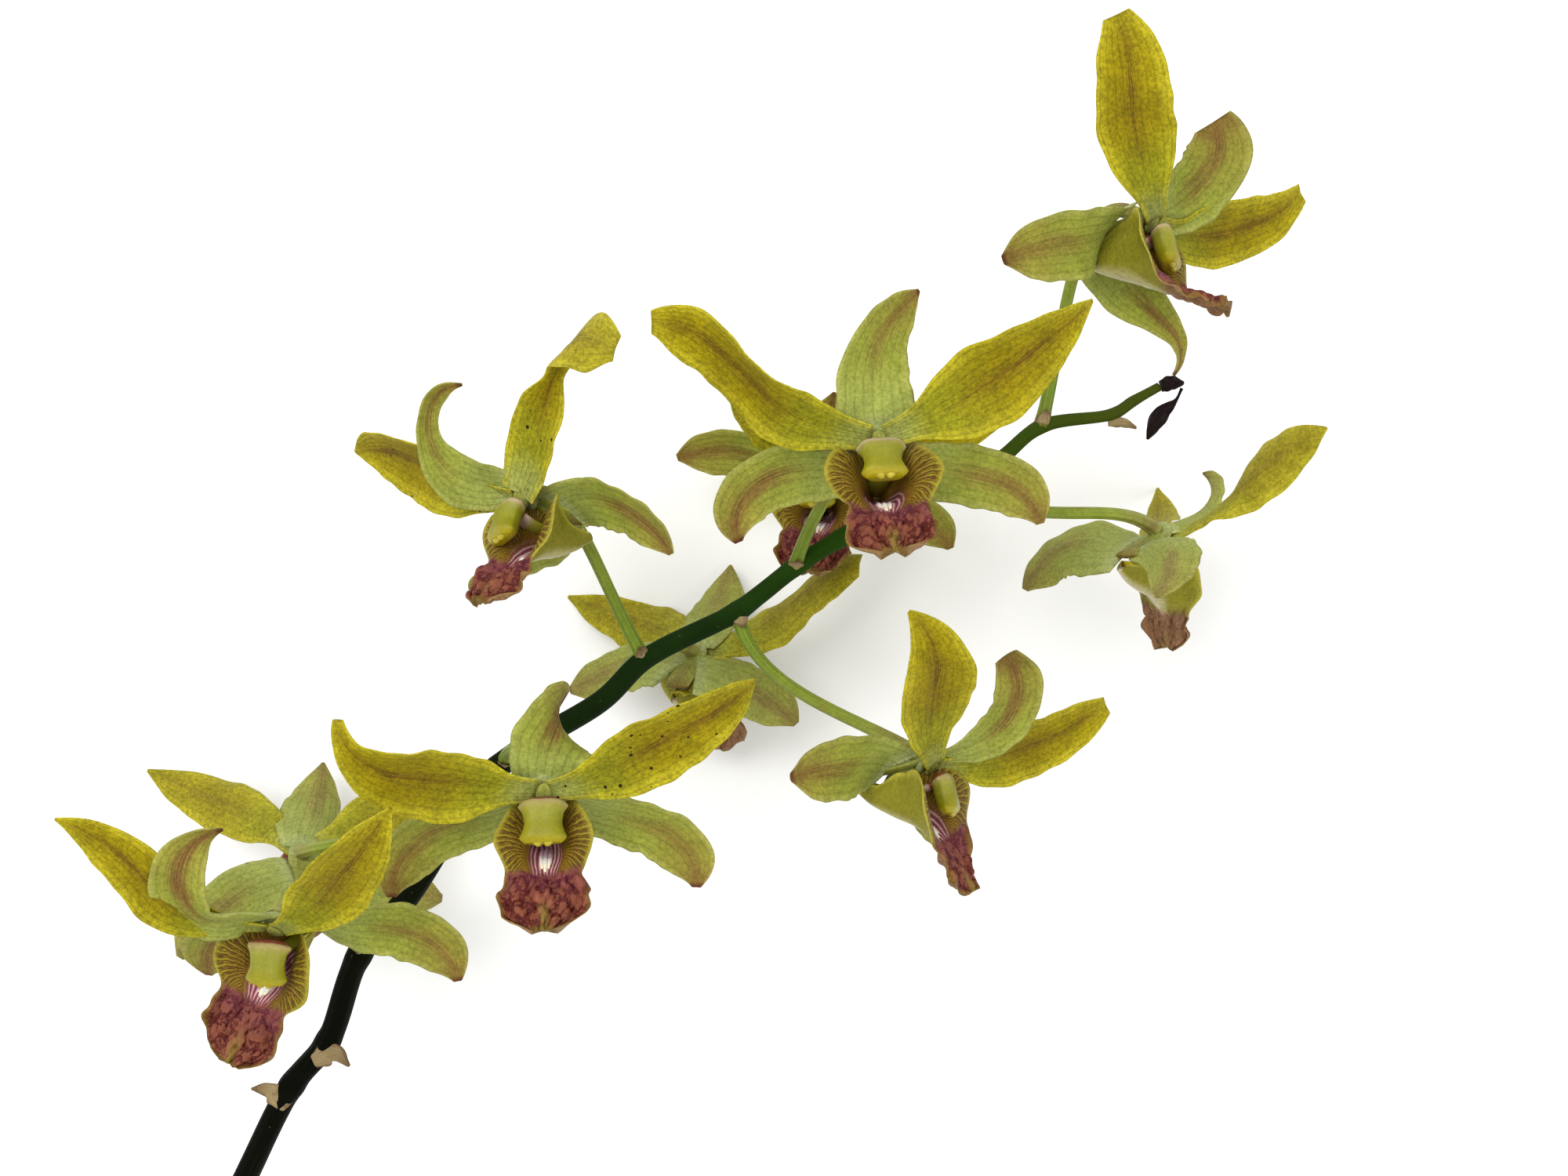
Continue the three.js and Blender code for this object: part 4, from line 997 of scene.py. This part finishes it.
def make_stem_piece():
    stem = Piece("stem", "stem")
    count = 420
    line = spread(curve(STEM, 2000), count)
    knots = np.linalg.norm(line[:, None] - np.array(STEM)[None], axis=2).argmin(0) / (count - 1)
    nodes = knots[STEM_NODES]

    def swell(t, angle):
        rings = sum(np.exp(-((t - n) / 0.006) ** 2) for n in nodes)
        grooves = 0.018 * np.cos(7 * angle + 5 * t) + 0.012 * np.cos(12 * angle - 9 * t)
        return 1 + 0.12 * rings + grooves + 0.02 * np.sin(90 * t) * np.sin(2 * angle)

    tube(stem, line, STEM_RADIUS, STEM_RADIUS, STEM_SKIN, shape=swell, sides=40)
    forward = unit(line[1] - line[0])
    end = line[0] + np.linspace(0.3, -0.1, 4)[:, None] * forward
    tube(stem, end, 2.3, 2.3, CUT, sides=40)
    stem.make()


def scale(node, slot, points, across, deep, material):
    """A papery scale or a withered bud along points of the spray"""
    piece = Piece(node, slot)
    line = spread(curve(points, 80), 40)
    phase = waves(len(node) * 31 + int(points[0][0]), 3)

    def creases(t, angle):
        coarse = 0.12 * np.sin(5 * angle + 6 * t + phase[0])
        return 1 + coarse + 0.08 * np.sin(9 * angle - 11 * t + phase[1])

    tube(piece, line, across, deep, material, shape=creases, sides=26)
    piece.make()


def make_camera():
    camera = bpy.data.objects.new("camera", bpy.data.cameras.new("camera"))
    camera.data.sensor_width = 36.0
    camera.data.lens = 41.4
    camera.data.clip_start = 0.01
    camera.location = (-CENTRE[0] / 1000, -CENTRE[1] / 1000, CAMERA_HEIGHT / 1000)
    bpy.context.scene.collection.objects.link(camera)
    bpy.context.scene.camera = camera


def make_studio():
    mesh = bpy.data.meshes.new("floor")
    far = 6.0
    mesh.from_pydata([(-far, -far, 0), (far, -far, 0), (far, far, 0), (-far, far, 0)], [], [(0, 1, 2, 3)])
    mesh.materials.append(make_floor())
    for name in ("span", "side"):
        mesh.uv_layers.new(name=name)
    floor = bpy.data.objects.new("floor", mesh)
    bpy.context.scene.collection.objects.link(floor)
    world = bpy.data.worlds.new("studio")
    world.use_nodes = True
    world.node_tree.nodes["Background"].inputs["Color"].default_value = (1.0, 1.0, 1.0, 1.0)
    world.node_tree.nodes["Background"].inputs["Strength"].default_value = 0.85
    bpy.context.scene.world = world
    bpy.context.scene.view_settings.view_transform = "Standard"
    lamps = (("key", (-0.5, 0.5, 1.3), 0.9, 14.0), ("fill", (0.9, -0.5, 1.1), 1.0, 6.0))
    for name, at, size, power in lamps:
        lamp = bpy.data.lights.new(name, "AREA")
        lamp.size, lamp.energy = size, power
        thing = bpy.data.objects.new(name, lamp)
        thing.location = at
        aim = -np.array(at) / np.linalg.norm(at)
        thing.rotation_euler = Vector(aim.tolist()).to_track_quat("-Z", "Y").to_euler()
        bpy.context.scene.collection.objects.link(thing)


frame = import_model()
make_camera()
make_studio()

PETAL_SKIN, SEPAL, LIP_SKIN, RIDGE = make_petal(), make_sepal(), make_lip(), make_ridge()
COLUMN, ANTHER, STEM_SKIN, PEDICEL = make_column(), make_anther(), make_stem(), make_pedicel()
BRACT, WITHERED, CUT = make_bract(), make_withered(), make_cut()

make_stem_piece()
make_blooms()
scale("bract_lower_1", "bract", [[-90.5, -91, 38.2], [-86.6, -89.3, 38.6], [-83.6, -92, 38]],
      [1.2, 2.1, 1.3, 0.25], [0.35, 0.35, 0.3, 0.15], BRACT)
scale("bract_lower_2", "bract", [[-96.6, -101, 34.2], [-99.6, -97.6, 35], [-103.4, -97.2, 35]],
      [1.2, 2.1, 1.3, 0.25], [0.35, 0.35, 0.3, 0.15], BRACT)
scale("bract_upper", "bract", [[61.2, 31.1, 44.6], [63.8, 31.3, 44.6], [66.6, 30.2, 44.2]],
      [0.6, 0.9, 0.7, 0.2], [0.3, 0.3, 0.25, 0.15], BRACT)
scale("tip_bud", "withered_bud", [[71.4, 38.3, 43.5], [73.4, 38.8, 43.3], [75.8, 38.9, 43]],
      [1.1, 1.3, 1.1, 0.3], [1.0, 1.2, 1.0, 0.3], WITHERED)
scale("dried_bud", "withered_bud",
      [[75.5, 37.9, 42.9], [74.4, 35.6, 42.5], [71.6, 33, 42], [69.2, 28.3, 41.5]],
      [0.3, 0.3, 1.1, 1.5, 1.1, 0.2], [0.3, 0.3, 1.0, 1.3, 1.0, 0.2], WITHERED)
